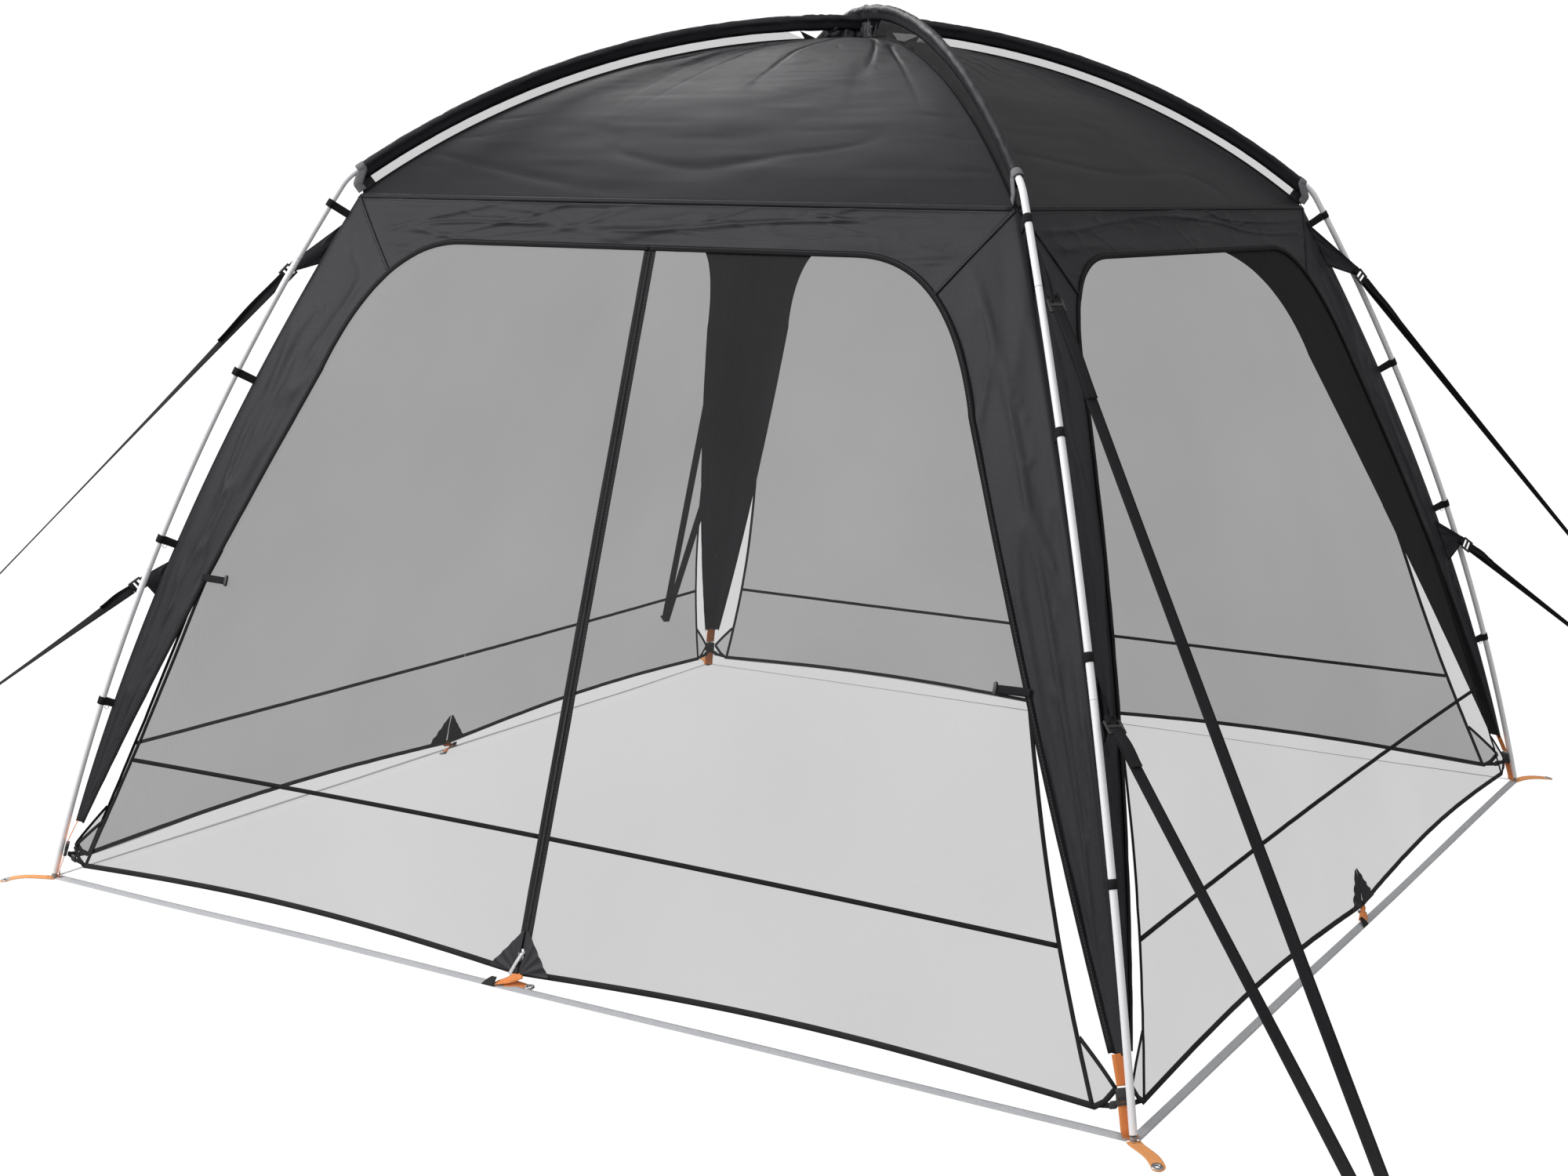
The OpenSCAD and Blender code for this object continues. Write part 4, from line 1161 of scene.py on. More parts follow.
for side_name, sign in DOORS:
    rows = 200
    zs = np.linspace(ZIP_LOW, ZIP_TOP, rows)[:, None]
    xs = sign * np.linspace(ZIP_EDGE, ZIP_HALF_W, 5)[None, :]
    ripple = 0.0006 * soft_noise(zs * 14, xs * 30, 141)
    points = wall_point(0, xs + 0 * zs, zs + 0 * xs, 0.0022 + ripple)
    uvs = np.stack([xs + 0 * zs, zs + 0 * xs], -1)
    half_tape = cloth_sheet(f"zip_tape_{side_name}", points, uvs, zip_tape, 0.0014,
                            f"{side_name}_door")
    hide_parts(f"door_zip_{side_name}")
    tooth = ((-ZIP_OVERLAP, 0.0018), (0.0022, 0.0030), (0.0034, 0.0044), (-ZIP_OVERLAP * 0.6, 0.0036))
    teeth = []
    tooth_faces = []
    for z in np.arange(ZIP_LOW, ZIP_TOP, COIL_PITCH) + (COIL_PITCH / 2 if sign > 0 else 0.0):
        base = len(teeth)
        for dz in (0.0, COIL_PITCH * 0.45):
            for x, lift in tooth:
                teeth.append(wall_point(0, sign * x, z + dz, lift))
        for a, b in ((0, 1), (1, 2), (2, 3), (3, 0)):
            tooth_faces.append((base + a, base + b, base + b + 4, base + a + 4))
        tooth_faces.append((base + 3, base + 2, base + 1, base))
        tooth_faces.append((base + 4, base + 5, base + 6, base + 7))
    coil = mesh_object(f"zip_coil_{side_name}", teeth, tooth_faces)
    coil.data.materials.append(coil_nylon)
    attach(coil, f"{side_name}_door")
    stitch_lines = [wall_point(0, np.full(2, sign * x), np.array([ZIP_LOW + 0.004, ZIP_TOP - 0.004]), 0.0032)
                    for x in (0.0140, 0.0100)]
    stitch_rows(f"zip_stitching_{side_name}", stitch_lines, [OUTWARD] * 2, f"{side_name}_door", width=0.0012)
    points, uvs = patch_points(0, sign, 0.0050, HEM_MID_H + 0.003)
    cloth_sheet(f"zip_patch_{side_name}", points, uvs, black_cloth, 0.0012, f"{side_name}_door")

# ---- Zip slider and pull ---------------------------------------------------------------------
# A die-cast slider: two rounded plates over and under the coil, a bridge on top, and a narrow
# white tape pull folded through the bridge.
SLIDER_LOW = 0.062
SLIDER_H = 0.024
PULL_L = 0.055
PULL_W = 0.0080
PULL_LIFT = 0.0073
slider_s = SLIDER_LOW / math.cos(WALL_TILT)
pull_s = slider_s + SLIDER_H / 2
zip_metal = painted("zip metal", (0.42, 0.42, 0.43), (0.62, 0.62, 0.63), 0.32, metallic=1.0,
                    bump=0.4, bump_depth=0.0002, wear_values={"Blotch": 60.0, "Grain": 1500.0}, dust=0.1)
white_tape = painted("white tape", (0.60, 0.60, 0.61), (0.80, 0.80, 0.81), 0.8, specular=0.2,
                     pattern=rib_group, pattern_values={"Pitch": 0.0010, "Slant": 0.6}, bump=0.6,
                     wear_values={"Blotch": 40.0, "Grain": 900.0}, dust=0.2)


def zip_spot(x, s, lift):
    """A point beside the zip: x across, s up along the leaning wall, lift outwards."""
    return np.array([x, -WALL_FOOT, 0.0]) + UPWARD * s + OUTWARD * lift


def rounded_plate(name, outline, low, high, spot, material, body, soften=0.0008):
    """A plate with an outline of (x, s) pairs between two lifts, with rounded edges."""
    count = len(outline)
    points = [spot(x, s, low) for x, s in outline] + [spot(x, s, high) for x, s in outline]
    faces = [tuple(reversed(range(count))), tuple(range(count, 2 * count))]
    for a in range(count):
        b = (a + 1) % count
        faces.append((a, b, b + count, a + count))
    plate = mesh_object(name, points, faces)
    plate.data.materials.append(material)
    soft = plate.modifiers.new("soft edges", "BEVEL")
    soft.width = soften
    soft.segments = 3
    soft.limit_method = "ANGLE"
    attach(plate, body)
    return plate


def rounded_box(x0, x1, s0, s1, corner):
    """Outline of a rectangle with round corners."""
    outline = []
    steps = 4
    for cx, cs, a0 in ((x1 - corner, s0 + corner, -90), (x1 - corner, s1 - corner, 0),
                       (x0 + corner, s1 - corner, 90), (x0 + corner, s0 + corner, 180)):
        for n in range(steps + 1):
            a = math.radians(a0 + 90 * n / steps)
            outline.append((cx + corner * math.cos(a), cs + corner * math.sin(a)))
    return outline


wedge = [(-0.0045, slider_s), (0.0045, slider_s), (0.0068, slider_s + 0.009), (0.0070, slider_s + 0.018),
         (0.0045, slider_s + SLIDER_H), (-0.0045, slider_s + SLIDER_H), (-0.0070, slider_s + 0.018),
         (-0.0068, slider_s + 0.009)]
top_plate = rounded_plate("slider_top", wedge, 0.0036, 0.0058, zip_spot, zip_metal, "zip_slider_body")
rounded_plate("slider_under", wedge, -0.0012, 0.0008, zip_spot, zip_metal, "zip_slider_body")
post = rounded_box(-0.0011, 0.0011, slider_s + 0.016, slider_s + 0.022, 0.0008)
rounded_plate("slider_post", post, 0.0004, 0.0040, zip_spot, zip_metal, "zip_slider_body",
              0.0002)
for sign, half_name in HALVES:
    lug_x = sign * 0.0062
    lug = rounded_box(lug_x - 0.0008, lug_x + 0.0008, pull_s - 0.0030, pull_s + 0.0030, 0.0007)
    rounded_plate(f"slider_lug_{half_name}", lug, 0.0050, 0.0098, zip_spot, zip_metal, "zip_slider_body",
                  0.0003)
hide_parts("zip_slider")



def tube(name, line, radius, material, body, sides=10, closed=False):
    """A round bar along a line of points."""
    line = np.asarray(line, float)
    along = np.gradient(line, axis=0)
    if closed:
        along = np.roll(line, -1, axis=0) - np.roll(line, 1, axis=0)
    along /= np.linalg.norm(along, axis=1)[:, None]
    guide = np.array([0.13, 0.29, 0.95])
    if abs(along[0] @ guide) > 0.9:
        guide = np.array([0.9, -0.2, 0.1])
    side = np.cross(along, guide)
    side /= np.linalg.norm(side, axis=1)[:, None]
    up = np.cross(side, along)
    points = []
    for centre, a, b in zip(line, side, up):
        for j in range(sides):
            t = 2 * math.pi * j / sides
            points.append(centre + radius * (a * math.cos(t) + b * math.sin(t)))
    rings = len(line)
    faces = grid_faces(rings, sides, True)
    if closed:
        last = (rings - 1) * sides
        faces += [(last + j, last + (j + 1) % sides, (j + 1) % sides, j) for j in range(sides)]
    else:
        faces.append(tuple(reversed(range(sides))))
        faces.append(tuple(range((rings - 1) * sides, rings * sides)))
    bar = mesh_object(name, points, faces)
    bar.data.materials.append(material)
    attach(bar, body)
    return bar


pin_line = [zip_spot(x, pull_s, PULL_LIFT) for x in np.linspace(-0.0055, 0.0055, 6)]
tube("pull_pin", pin_line, 0.0010, zip_metal, "zip_pull_body")
fold_line = []
for n in range(36):
    a = 2 * math.pi * n / 35
    depth = PULL_L * (0.5 - 0.5 * math.cos(a))
    swell = 0.0012 + 0.0012 * math.sin(math.pi * min(1, depth / PULL_L * 1.2))
    fold_line.append(zip_spot(-0.42 * depth ** 1.2 / PULL_L ** 0.2, pull_s + 0.0022 - depth * 0.92,
                              PULL_LIFT + swell * math.sin(a)))
pull = strap_mesh("pull_tape", fold_line, [np.array([1.0, 0.0, 0.0])] * 36, 0.0007, PULL_W, white_tape,
                  "zip_pull_body")
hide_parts("zip_pull")

# ---- Pole clips ------------------------------------------------------------------------------
# Black webbing loops that hold the leg fabric to the pole: a band round the tube and a short
# double strap, sewn to the fold of the leg fabric. The two lower ones carry a small white ring.
LEG_D = 0.016
ELBOW_BEND = math.radians(22)
ELBOW_BEND_R = 0.120
FOOT_PLUG_H = 0.012


def leg_arc(k):
    """Centre (r, z) and radius of the leg's arc under roof pole k."""
    slope = math.pi / 2 - math.acos(ELBOW_R / pole_r(k))
    bend = np.array([ELBOW_R - ELBOW_BEND_R * math.sin(slope), ELBOW_H - ELBOW_BEND_R * math.cos(slope)])
    leg_slope = slope + ELBOW_BEND
    top = bend + ELBOW_BEND_R * np.array([math.sin(leg_slope), math.cos(leg_slope)])
    chord = np.array([FOOT_R - top[0], top[1] - FOOT_PLUG_H])
    half = math.atan2(chord[1], chord[0]) - leg_slope
    radius = np.linalg.norm(chord) / 2 / math.sin(half)
    return top - radius * np.array([math.sin(leg_slope), math.cos(leg_slope)]), radius


def leg_tilt(i, z):
    centre, radius = leg_arc(i % 2)
    return math.asin((z - centre[1]) / radius)


def leg_r(i, z):
    centre, radius = leg_arc(i % 2)
    return centre[0] + radius * math.cos(leg_tilt(i, z))


def pole_frame(i, z):
    """Place on leg i at height z, with the ways outwards, sideways and up along the tube."""
    a = leg_tilt(i, z)
    place = corner_point(i, leg_r(i, z), 0, z)
    out = corner_point(i, math.cos(a), 0, math.sin(a))
    up = corner_point(i, -math.sin(a), 0, math.cos(a))
    return place, out, corner_point(i, 0, 1, 0), up


CLIP_H = 0.020
CLIP_HEIGHTS = [0.465, 0.878, 1.300, 1.722]
CLIP_RING_R = 0.0045
for i, corner in enumerate(CORNERS):
    for n, z in enumerate(CLIP_HEIGHTS):
        place, out, side, up = pole_frame(i, z)
        reach = (leg_r(i, z) - fabric_w(z) * math.sqrt(2)) * math.cos(leg_tilt(i, z))
        ring_r = LEG_D / 2 + 0.0016
        start = math.radians(152)
        line = [place - out * (reach - 0.001) + side * 0.0010]
        line += [place - out * (reach * 0.5 + 0.006) + side * 0.0016]
        for a in np.linspace(start, -start, 30):
            line.append(place + out * (ring_r * math.cos(a)) + side * (ring_r * math.sin(a)))
        line += [place - out * (reach * 0.5 + 0.006) - side * 0.0016]
        line += [place - out * (reach - 0.001) - side * 0.0010]
        line = between(line, 70)
        clip = strap_mesh(f"pole_clip_{corner}_{n}", line, [up] * len(line), 0.0013, CLIP_H, black_webbing,
                          "canopy")
        if (corner, n) == ("fr", 0):
            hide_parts("pole_clips")
        if n < 2:
            ring_mid = place - out * (ring_r + 0.006) + side * 0.003 - up * 0.014
            ring = [ring_mid + out * (CLIP_RING_R * math.cos(a)) + up * (CLIP_RING_R * math.sin(a))
                    for a in np.linspace(0, 2 * math.pi, 18, endpoint=False)]
            tube(f"clip_ring_{corner}_{n}", ring, 0.0010, white_paint, "canopy", closed=True)

# ---- Sleeve ends -----------------------------------------------------------------------------
# Grey webbing wraps each sleeve's end, and two short straps run down from it to the roof's
# corner, where they are sewn into the seams.
grey_webbing = painted("grey webbing", (0.12, 0.12, 0.125), (0.25, 0.25, 0.26), 0.75, specular=0.25,
                       pattern=rib_group, bump=0.8, wear_values={"Blotch": 16.0, "Grain": 700.0}, dust=0.1)
HOOD_W = 0.022
for i, corner in enumerate(CORNERS):
    k = i % 2
    first = math.acos(ELBOW_R / pole_r(k))
    a = first + math.radians(0.55)
    centre = corner_point(i, pole_r(k) * math.cos(a), 0, pole_apex(k) - pole_r(k) + pole_r(k) * math.sin(a))
    out = corner_point(i, math.cos(a), 0, math.sin(a))
    side = corner_point(i, 0, 1, 0)
    along = corner_point(i, -math.sin(a), 0, math.cos(a))
    ring_r = LEG_D / 2 + 0.0040
    corner_low = corner_point(i, CORNER_R - 0.004, 0, SEAM_H + 0.010)
    line = [corner_low + side * 0.010, corner_low + side * 0.012 + out * 0.020]
    for b in np.linspace(math.radians(112), math.radians(-112), 30):
        line.append(centre + out * (ring_r * math.cos(b)) + side * (ring_r * math.sin(b)))
    line += [corner_low - side * 0.012 + out * 0.020, corner_low - side * 0.010]
    line = between(line, 80)
    hood = strap_mesh(f"sleeve_end_{corner}", line, [along] * len(line), 0.0016, HOOD_W, grey_webbing,
                      "canopy")
    if i == 0:
        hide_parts("sleeve_end_straps")
    # A narrow black sheet fills the dark gap between the sleeve's end and the roof's corner: painted shade.
    rows = 14
    level = np.linspace(0, 1, rows)[:, None]
    share = np.linspace(-1, 1, 9)[None, :]
    top_r = ELBOW_R - 0.060
    top = corner_point(i, top_r, 0, float(pole_apex(k) - pole_r(k) + math.sqrt(pole_r(k) ** 2 - top_r ** 2))
                       - SLEEVE_R - 0.004)
    grid = top + (corner_low - out * 0.002 - top) * level[..., None]
    grid = grid + side * (share * 0.007 * (1 - level))[..., None]
    grid = grid + out * (0.004 * np.sin(math.pi * level))[..., None]
    cloth_sheet(f"corner_gap_shade_{corner}", grid, np.stack([share + 0 * level, level + 0 * share], -1) * 0.05,
                black_cloth, 0.0012)

# ---- Tie-backs -------------------------------------------------------------------------------
# A flat strap with a plastic toggle, sewn to each leg's edge, that holds an opened door half.
TIE_H = 0.780
TIE_L = 0.080
TIE_LIFT = 0.0045
TIE_W = 0.018
toggle_plastic = painted("black plastic", (0.010, 0.010, 0.011), (0.026, 0.026, 0.028), 0.42, specular=0.5,
                         bump=0.25, bump_depth=0.0002, wear_values={"Blotch": 30.0, "Grain": 1400.0},
                         dust=0.12)


def tie_spot(x, s, lift):
    """A point on the bowed front wall: x across, s up along it, lift outwards."""
    return wall_point(0, x, s * math.cos(WALL_TILT), lift)


for side_name, sign in DOORS:
    root = sign * (leg_edge(TIE_H) + 0.004)
    steps = 24
    xs = np.linspace(root, root - sign * TIE_L, steps)
    bend = 0.0035 + 0.0030 * np.sin(np.linspace(0, 2.6, steps))
    s_mid = TIE_H / math.cos(WALL_TILT) + 0.009
    droop = np.linspace(0, 0.003, steps)
    line = [tie_spot(x, s_mid - d, TIE_LIFT + b) for x, d, b in zip(xs, droop, bend)]
    tie = strap_mesh(f"tie_strap_{side_name}", line, [UPWARD] * steps, 0.0014, TIE_W, black_webbing,
                     f"{side_name}_tie")
    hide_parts(f"tie_back_{side_name}")
    end = xs[-1]
    bar = rounded_box(end - 0.0045, end + 0.0045, s_mid - 0.016, s_mid + 0.012, 0.0042)
    rounded_plate(f"tie_toggle_{side_name}", bar, TIE_LIFT + 0.0030, TIE_LIFT + 0.0095, tie_spot,
                  toggle_plastic, f"{side_name}_tie", 0.0020)

# ---- Guy tabs and ladder locks ---------------------------------------------------------------
# Doubled triangles of cloth on the leg fabric, bound along both edges, each holding a moulded
# ladder lock. The strap's tail comes back through the lock and lies along the strap.
LADDER_L = 0.034
GUY_TABS = {"upper": 1.700, "lower": 0.830}
TAB_BASE = 0.120
TAB_TIP = 0.0105
TAIL_L = {"upper": 0.24, "lower": 0.10}
LOCK_HALF_W = WEBBING_W / 2 + 0.0032
LOCK_BARS = ((-0.0148, 0.0022), (-0.0020, 0.0034), (0.0110, 0.0026), (0.0155, 0.0018))


def tab_root(i, z):
    """A point on the fold of leg fabric i at height z, where a guy tab is sewn in."""
    return corner_point(i, fabric_w(z) * math.sqrt(2) - GUY_OFFSET + 0.006, GUY_SIDE[i] * GUY_OFFSET, z)


for i, corner in enumerate(CORNERS):
    side = corner_point(i, 0, 1, 0)
    for level_name, z_top in GUY_TABS.items():
        line = guy_points(i, level_name)
        start = line[0]
        ahead = (line[1] - line[0]) / np.linalg.norm(line[1] - line[0])
        lift = np.cross(side, ahead)
        lift = lift if lift[2] > 0 else -lift
        tip = start - ahead * (LADDER_L + 0.001)
        base_top = tab_root(i, z_top)
        base_low = tab_root(i, z_top - TAB_BASE)
        rows, columns = 26, 16
        t = np.linspace(0, 1, rows)[:, None, None]
        u = np.linspace(0, 1, columns)[None, :, None]
        tip_high = tip + lift * TAB_TIP
        tip_low = tip - lift * TAB_TIP
        pinch = t ** 0.85
        grid = (base_top * (1 - u) + base_low * u) * (1 - pinch) + (tip_high * (1 - u) + tip_low * u) * pinch
        swell = creases(u[..., 0] * 3 + 2 * i, t[..., 0] * 1.2, 151 + i) * 0.004 * (1 - t[..., 0])
        swell = swell + 0.004 * np.sin(math.pi * t[..., 0]) * np.sin(math.pi * u[..., 0])
        grid = grid + side * swell[..., None]
        uvs = np.concatenate([u + 0 * t, t + 0 * u], axis=-1) * TAB_BASE
        tab = cloth_sheet(f"guy_tab_{level_name}_{corner}", grid, uvs, black_cloth, 0.0018)
        for edge_name, column in (("top", 0), ("low", -1)):
            tube(f"tab_edge_{edge_name}_{level_name}_{corner}", grid[:, column], 0.0016, binding_cloth,
                 "canopy", 8)
        if (corner, level_name) == ("fr", "upper"):
            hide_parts("guy_tabs")
        lock_mid = start - ahead * (LADDER_L / 2)
        turned = float(strap_turn(i, 0.0))
        lock_side = side * math.cos(turned) + lift * math.sin(turned)
        lock_out = lift * math.cos(turned) - side * math.sin(turned)

        def lock_spot(x, s, high, o=lock_mid, sd=lock_side, ah=ahead, lf=lock_out):
            return o + sd * x + ah * s + lf * high

        for rail_side, half_name in HALVES:
            rail_x = rail_side * LOCK_HALF_W
            shape = rounded_box(rail_x - 0.0028, rail_x + 0.0020, -LADDER_L / 2, LADDER_L / 2, 0.0016)
            rail = rounded_plate(f"lock_rail_{half_name}_{level_name}_{corner}", shape, -0.0024, 0.0024,
                                 lock_spot, toggle_plastic, "canopy", 0.0009)
            if (corner, level_name, half_name) == ("fr", "upper", "l"):
                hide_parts("guy_buckles")
        for n, (s, half_bar) in enumerate(LOCK_BARS):
            shape = rounded_box(-LOCK_HALF_W, LOCK_HALF_W, s - half_bar, s + half_bar, 0.0016)
            rounded_plate(f"lock_bar_{n}_{level_name}_{corner}", shape, -0.0020, 0.0020 + 0.0016 * (n == 3),
                          lock_spot, toggle_plastic, "canopy", 0.0009)
        loop_line = [lock_spot(0, s, h) for s, h in ((-0.030, 0.0030), (-0.016, 0.0034), (-0.0130, 0.0010),
                                                     (-0.016, -0.0034), (-0.030, -0.0030))]
        strap_mesh(f"tab_webbing_{level_name}_{corner}", between(loop_line, 30), [lock_side] * 30, 0.0012,
                   WEBBING_W * 0.9, black_webbing, "canopy")
        tail_l = TAIL_L[level_name]
        tail = []
        tail_way = []
        for s in np.linspace(0, 1, 40):
            turn = float(strap_turn(i, tail_l * s / GUY_L[level_name]))
            above = lift * math.cos(turn) - side * math.sin(turn)
            gap = 0.0034 + 0.005 * math.sin(math.pi * s) ** 2 + 0.003 * s ** 3
            tail.append(start + ahead * (-0.010 + tail_l * s) + above * gap)
            tail_way.append(side * math.cos(turn) + lift * math.sin(turn))
        strap_mesh(f"guy_tail_{level_name}_{corner}", tail, tail_way, 0.0014, WEBBING_W * 0.94, black_webbing,
                   "canopy")

# ---- Ground straps ---------------------------------------------------------------------------
# Light grey webbing along the ground from foot to foot. It lies nearly straight, a little
# slack, and slips through a folded black guide beside each hem loop.
GROUND_STRAP_W = 0.020
GROUND_TILT = 0.22
light_webbing = painted("light grey webbing", (0.42, 0.43, 0.45), (0.60, 0.61, 0.64), 0.75, specular=0.25,
                        pattern=rib_group, bump=0.8, wear_values={"Blotch": 11.0, "Grain": 600.0}, dust=0.2)
for k, side_name in enumerate(SIDES):
    xs = np.linspace(-FOOTPRINT / 2 + 0.012, FOOTPRINT / 2 - 0.012, 120)
    drift = 0.004 * soft_noise(xs * 1.7, 0 * xs, 161 + k)
    rise = 0.0016 + 0.0010 * (1 + soft_noise(xs * 3.0, 0 * xs, 165 + k))
    line = wall_turn(k, np.stack([xs, -FOOTPRINT / 2 + drift, rise], axis=1))
    tilt = GROUND_TILT + 0.10 * soft_noise(xs * 2.2, 0 * xs, 169 + k)
    line[:, 2] += GROUND_STRAP_W / 2 * np.sin(tilt)
    width_way = wall_turn(k, np.stack([0 * xs, np.cos(tilt), np.sin(tilt)], axis=1))
    strap = strap_mesh(f"ground_strap_{side_name}", line, width_way, 0.0014, GROUND_STRAP_W, light_webbing,
                       "canopy")
    if k == 0:
        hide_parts("ground_straps")

# ---- Hem loops -------------------------------------------------------------------------------
# A short orange strap sewn under the middle of each hem, folded over the ground strap, with a
# metal eyelet in its tail, and a black triangular guide on the ground strap beside it.
orange_webbing = painted("orange webbing", (0.80, 0.210, 0.048), (0.94, 0.330, 0.092), 0.62, specular=0.25,
                         pattern=rib_group, bump=0.8, wear_values={"Blotch": 14.0, "Grain": 600.0}, dust=0.10)
eyelet_metal = painted("eyelet metal", (0.30, 0.30, 0.31), (0.50, 0.50, 0.51), 0.38, metallic=1.0,
                       bump=0.4, bump_depth=0.0002, wear_values={"Blotch": 60.0, "Grain": 1500.0}, dust=0.15)


EYELET_D = 0.0236
EYELET_HOLE_D = 0.010
EYELET_RISE = 0.0024
EYELET_PROFILE = ((0.0, 0.30), (0.10, 0.85), (0.35, 1.05), (0.75, 0.95), (1.0, 0.35))


def eyelet(name, centre, normal, body):
    """A rolled metal eyelet: a domed ring on both faces of the webbing."""
    normal = np.asarray(normal, float) / np.linalg.norm(normal)
    a = np.cross(normal, [0.31, 0.77, 0.55])
    a /= np.linalg.norm(a)
    b = np.cross(normal, a)
    steps = 32
    inner = EYELET_HOLE_D / 2
    outer = EYELET_D / 2
    profile = []
    for face in (1, -1):
        for share, h in EYELET_PROFILE:
            profile.append((inner + (outer - inner) * share, face * h * EYELET_RISE))
    half = len(EYELET_PROFILE)
    profile = profile[:half] + profile[:half - 1:-1]
    points = []
    for n in range(steps):
        t = 2 * math.pi * n / steps
        way = a * math.cos(t) + b * math.sin(t)
        points.extend(np.asarray(centre) + way * r + normal * h for r, h in profile)
    count = len(profile)
    faces = []
    for n in range(steps):
        m = (n + 1) % steps
        for j in range(count):
            i = (j + 1) % count
            faces.append((n * count + j, n * count + i, m * count + i, m * count + j))
    ring = mesh_object(name, points, faces)
    ring.data.materials.append(eyelet_metal)
    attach(ring, body)
    return ring


def punch(piece, centre, radius):
    """Cut a hole through webbing: an eyelet's ring covers the cut edge."""
    cut = bmesh.new()
    cut.from_mesh(piece.data)
    middle = Vector(centre)
    gone = [face for face in cut.faces if (face.calc_center_median() - middle).length < radius]
    bmesh.ops.delete(cut, geom=gone, context="FACES")
    cut.to_mesh(piece.data)
    cut.free()


HEM_Y = -WALL_FOOT + HEM_MID_H * math.tan(WALL_TILT) - 0.003
LOOP_LINE = [(0.010, HEM_Y, 0.034), (-0.002, HEM_Y - 0.003, 0.027), (-0.020, -1.4925, 0.019),
             (-0.038, -1.4965, 0.0125), (-0.050, -1.4990, 0.0090)]
TAIL_LINE = [(-0.030, -1.4935, 0.0120), (-0.012, -1.4880, 0.0110), (0.006, -1.4820, 0.0080),
             (0.020, -1.4770, 0.0052), (0.027, -1.4745, 0.0040)]
LOOP_W = 0.021
LOOP_T = 0.0012


def hem_strap(name, k, route, turns, along, parts):
    """Orange webbing along a route at wall k's hem. It turns about its length between two angles."""
    steps = 24
    line = between(wall_turn(k, np.array(route)), steps)
    turn = np.linspace(math.radians(turns[0]), math.radians(turns[1]), steps)
    width_way = [wall_turn(k, np.array([along, math.cos(a), math.sin(a)])) for a in turn]
    return strap_mesh(name, line, width_way, LOOP_T, LOOP_W, orange_webbing, "canopy",
                      parts)


for k, side_name in enumerate(SIDES):
    loop = hem_strap(f"hem_loop_{side_name}", k, LOOP_LINE, (62, 15), 0.30, 5)
    if k == 0:
        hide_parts("hem_loops")
    tail = hem_strap(f"hem_tail_{side_name}", k, TAIL_LINE, (35, 4), 0.10, 13)
    hole = wall_turn(k, np.array([0.026, -1.4750, 0.0052]))
    punch(tail, hole, 0.0070)
    eyelet(f"hem_eyelet_{side_name}", hole, wall_turn(k, np.array([0.05, -0.16, 1.0])), "canopy")
    guide_x = -0.068
    rows = 10
    level = np.linspace(0, 1, rows)[:, None]
    share = np.linspace(-1, 1, 8)[None, :]
    gx = guide_x + 0.004 + 0.017 * share * (1 - level * 0.62) + 0.007 * level
    gy = -FOOTPRINT / 2 - 0.013 + 0.018 * level + 0 * share
    gz = 0.0040 + 0.0160 * level + 0.0020 * np.sin(math.pi * level) + 0 * share
    guide = wall_turn(k, np.stack([gx, gy, gz], axis=-1))
    cloth_sheet(f"strap_guide_{side_name}", guide, np.stack([gx, gy], -1), binding_cloth,
                0.0018)

# ---- Foot straps and buckles -----------------------------------------------------------------
# Orange webbing from the leg fabric's end, through a side-release buckle, to the pole's foot.
# A narrow black strap with a small lock pulls each wall's hem corner to the same buckle.
FOOT_BUCKLE_H = (0.062, 0.096)
FOOT_STRAP_W = 0.029
FOOT_STRAP_T = 0.0016
FOOT_STRAP_SHIFT = [-0.007, 0.004, 0.0, 0.004]


def behind(i, z, back):
    """A point behind leg i's tube at height z, where the foot strap runs."""
    return corner_point(i, leg_r(i, z) - LEG_D / 2 - back, FOOT_STRAP_SHIFT[i], z)


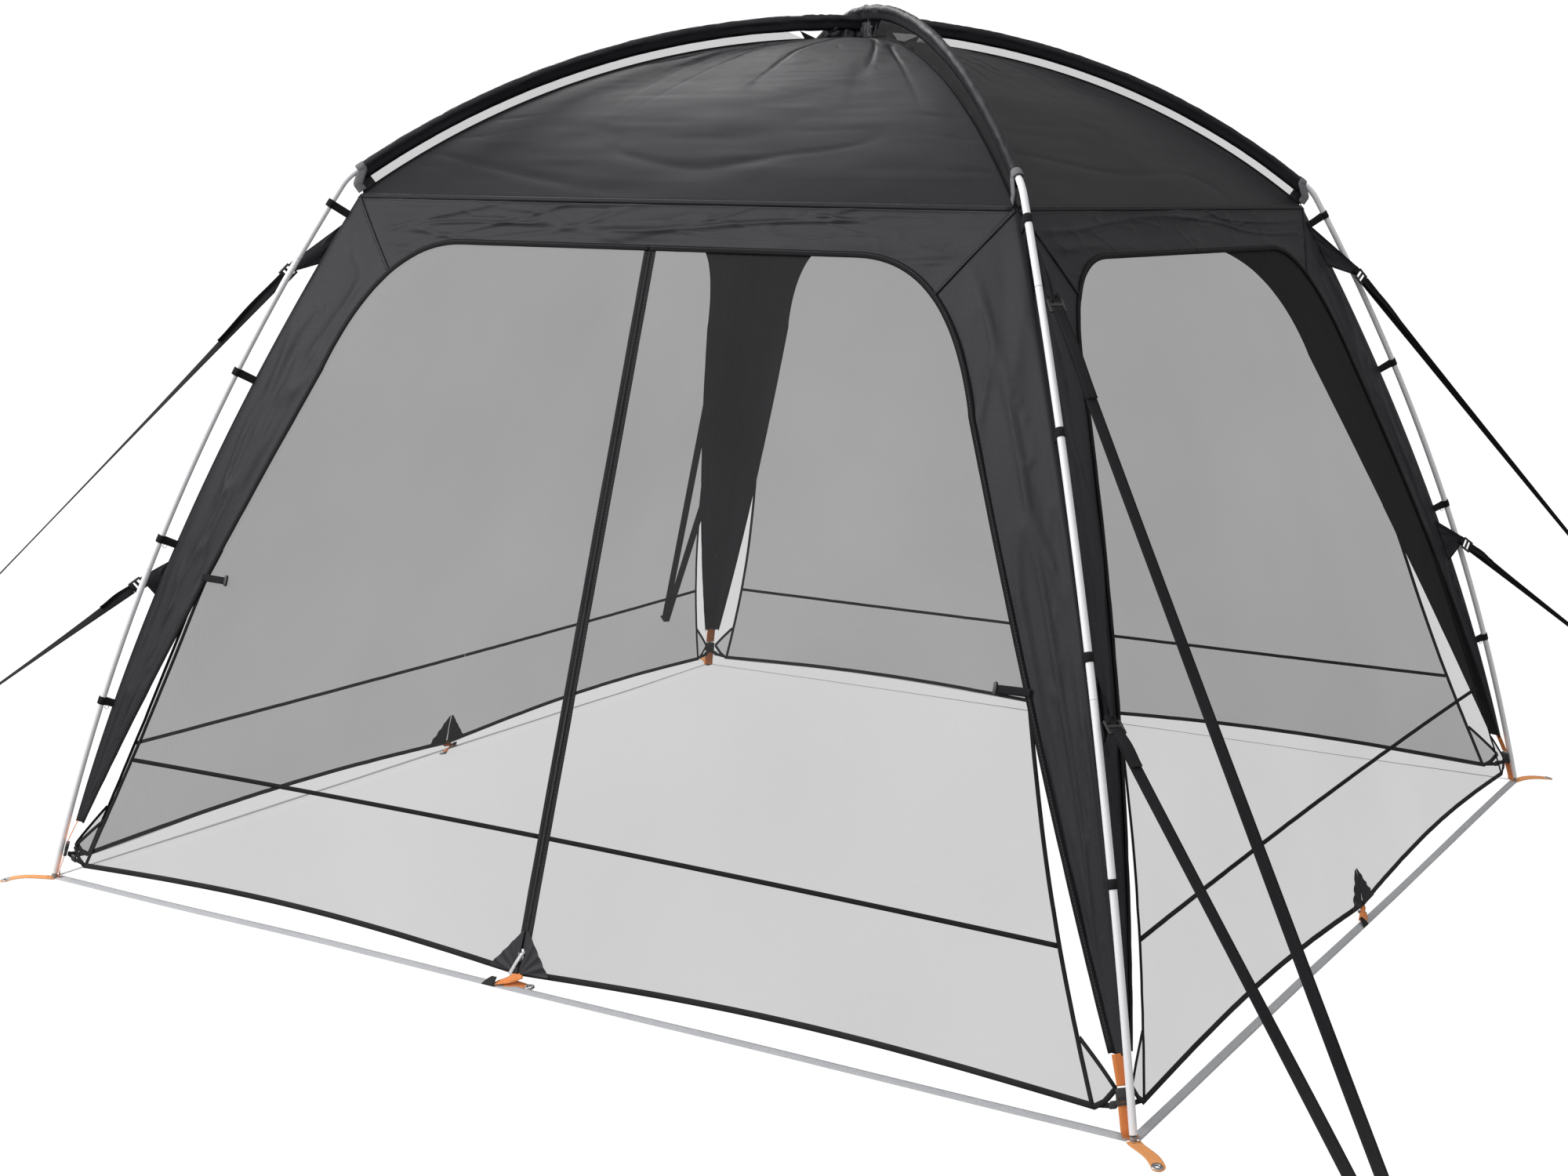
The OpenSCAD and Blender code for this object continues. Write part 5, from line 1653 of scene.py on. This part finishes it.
for i, corner in enumerate(CORNERS):
    side = corner_point(i, 0, 1, 0)
    top = corner_point(i, fabric_w(LEG_END_H) * math.sqrt(2) - 0.004, FOOT_STRAP_SHIFT[i] * 1.4,
                       LEG_END_H + 0.004)
    bend = behind(i, 0.104, 0.0068)
    line = [top, top * 0.45 + bend * 0.55, bend, behind(i, 0.0985, 0.0062)]
    upper = strap_mesh(f"foot_strap_upper_{corner}", between(line, 24), [side] * 24, FOOT_STRAP_T,
                       FOOT_STRAP_W, orange_webbing, "canopy")
    line = [behind(i, 0.088, 0.0058), behind(i, 0.060, 0.0060), behind(i, 0.040, 0.0040),
            behind(i, 0.020, 0.0026), corner_point(i, FOOT_R - 0.0115, 0, 0.0062),
            corner_point(i, FOOT_R - 0.006, 0, 0.0026)]
    strap_mesh(f"foot_strap_lower_{corner}", between(line, 30), [side] * 30, FOOT_STRAP_T, FOOT_STRAP_W,
               orange_webbing, "canopy")
    if i == 0:
        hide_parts("foot_straps")
    mid = sum(FOOT_BUCKLE_H) / 2
    a = leg_tilt(i, mid)
    out = corner_point(i, math.cos(a), 0, math.sin(a))
    up = corner_point(i, -math.sin(a), 0, math.cos(a))
    centre = behind(i, mid, 0.0070)

    def buckle_spot(x, s, high, o=centre, sd=side, u=up, w=out):
        return o + sd * x + u * s + w * high

    half_w = WEBBING_W / 2 + 0.004
    throat_w = half_w * 0.72
    parts = [("body", rounded_box(-half_w, half_w, -0.0035, 0.0165, 0.0045), 0.0044, 0.0018),
             ("throat", rounded_box(-throat_w, throat_w, -0.0095, -0.0030, 0.0020), 0.0026, 0.0010),
             ("ladder", rounded_box(-half_w, half_w, -0.0165, -0.0105, 0.0025), 0.0040, 0.0016)]
    for sign, half_name in HALVES:
        rail_x = sign * half_w * 0.88
        rail = rounded_box(rail_x - 0.0022, rail_x + 0.0022, -0.0160, 0.0, 0.0018)
        parts.append((f"prong_{half_name}", rail, 0.0036, 0.0014))
    for part_name, outline, half_t, soften in parts:
        piece = rounded_plate(f"foot_buckle_{part_name}_{corner}", outline, -half_t, half_t, buckle_spot,
                              toggle_plastic, "canopy", soften)
        if (corner, part_name) == ("fr", "body"):
            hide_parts("foot_buckles")
    for wall, sign in ((i, 1), (i + 1, -1)):
        hem_corner = wall_point(wall % 4, sign * 1.414, HEM_H + 0.010, 0.001)
        reach = buckle_spot(0.0, -0.012, -0.006)
        label = "r" if sign > 0 else "l"
        line = between([hem_corner, hem_corner * 0.5 + reach * 0.5 + [0, 0, -0.004], reach], 24)
        vertical = [np.array([0.0, 0.0, 1.0])] * 24
        strap_mesh(f"corner_strap_{label}_{corner}", line, vertical, 0.0014, 0.011, black_webbing, "canopy")
        lock_at = line[14]
        ahead = (line[-1] - line[0]) / np.linalg.norm(line[-1] - line[0])
        face_way = np.cross(ahead, [0.0, 0.0, 1.0])
        face_way /= np.linalg.norm(face_way)
        face_way = face_way if face_way @ corner_point(i, 1, 0, 0) > 0 else -face_way

        def small_spot(x, s, high, o=lock_at, ah=ahead, fw=face_way):
            return o + ah * s + np.array([0.0, 0.0, 1.0]) * x + fw * high

        rounded_plate(f"corner_lock_{label}_{corner}", rounded_box(-0.0080, 0.0080, -0.0080, 0.0080, 0.0024),
                      -0.0024, 0.0030, small_spot, toggle_plastic, "canopy", 0.0012)

# ---- Pegging tabs ----------------------------------------------------------------------------
# A lighter orange tab runs out from under each foot and ends in a round grey eyelet. Real
# webbing never lies quite flat, so it waves a little.
TAB_L = 0.120
TAB_W = 0.029
TAB_ROOT_R = FOOT_R + LEG_D / 2 + 0.004
TAB_ROOT_BACK = 0.012
EYELET_R = TAB_ROOT_R + TAB_L - TAB_W / 2
tab_webbing = painted("light orange webbing", (0.92, 0.330, 0.095), (0.98, 0.440, 0.150), 0.62, specular=0.25,
                      pattern=rib_group, bump=0.8, wear_values={"Blotch": 14.0, "Grain": 600.0}, dust=0.10)
for i, corner in enumerate(CORNERS):
    rows, columns = 76, 19
    s = np.linspace(0, 1, rows)
    r = TAB_ROOT_R - TAB_ROOT_BACK + (TAB_L + TAB_ROOT_BACK - 0.0005) * s
    from_tip = np.clip((r[-1] - r) / (TAB_W / 2), 0, 1)
    half_w = TAB_W / 2 * np.sqrt(np.clip(1 - (1 - from_tip) ** 2, 0.0025, 1))
    lean = math.radians(3) * np.sin(math.pi * s) * (1 if i % 2 else -1)
    mid_z = 0.0018 + 0.0075 * np.sin(math.pi * s)
    drift = 0.0035 * np.sin(2 * math.pi * s) * (1 if i % 2 else -1)
    grid = np.empty((rows, columns, 3))
    uvs = np.empty((rows, columns, 2))
    for j, share in enumerate(np.linspace(-1, 1, columns)):
        x = half_w * share
        for n in range(rows):
            rise = mid_z[n] + abs(half_w[n] * math.sin(lean[n])) * 0.5 + x[n] * math.sin(lean[n])
            grid[n, j] = corner_point(i, r[n], drift[n] + x[n] * math.cos(lean[n]), rise)
        uvs[:, j, 0] = x
        uvs[:, j, 1] = r
    tab = cloth_sheet(f"peg_tab_{corner}_webbing", grid, uvs, tab_webbing, 0.0018,
                      f"peg_{corner}")
    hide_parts(f"peg_tab_{corner}")
    dip = math.radians(9.5)
    hole = corner_point(i, EYELET_R, 0, 0.0046)
    punch(tab, hole, 0.0072)
    eyelet(f"peg_eyelet_{corner}_ring", hole, corner_point(i, math.sin(dip), 0, math.cos(dip)),
           f"peg_{corner}")
    stitch_lines = [np.array([corner_point(i, TAB_ROOT_R + d, y, 0.0062) for y in (-0.009, 0.009)])
                    for d in (-0.004, 0.004)]
    stitch_rows(f"peg_stitching_{corner}", stitch_lines, [np.array([0.0, 0.0, 1.0])] * 2, f"peg_{corner}",
                pitch=0.004, length=0.0028)
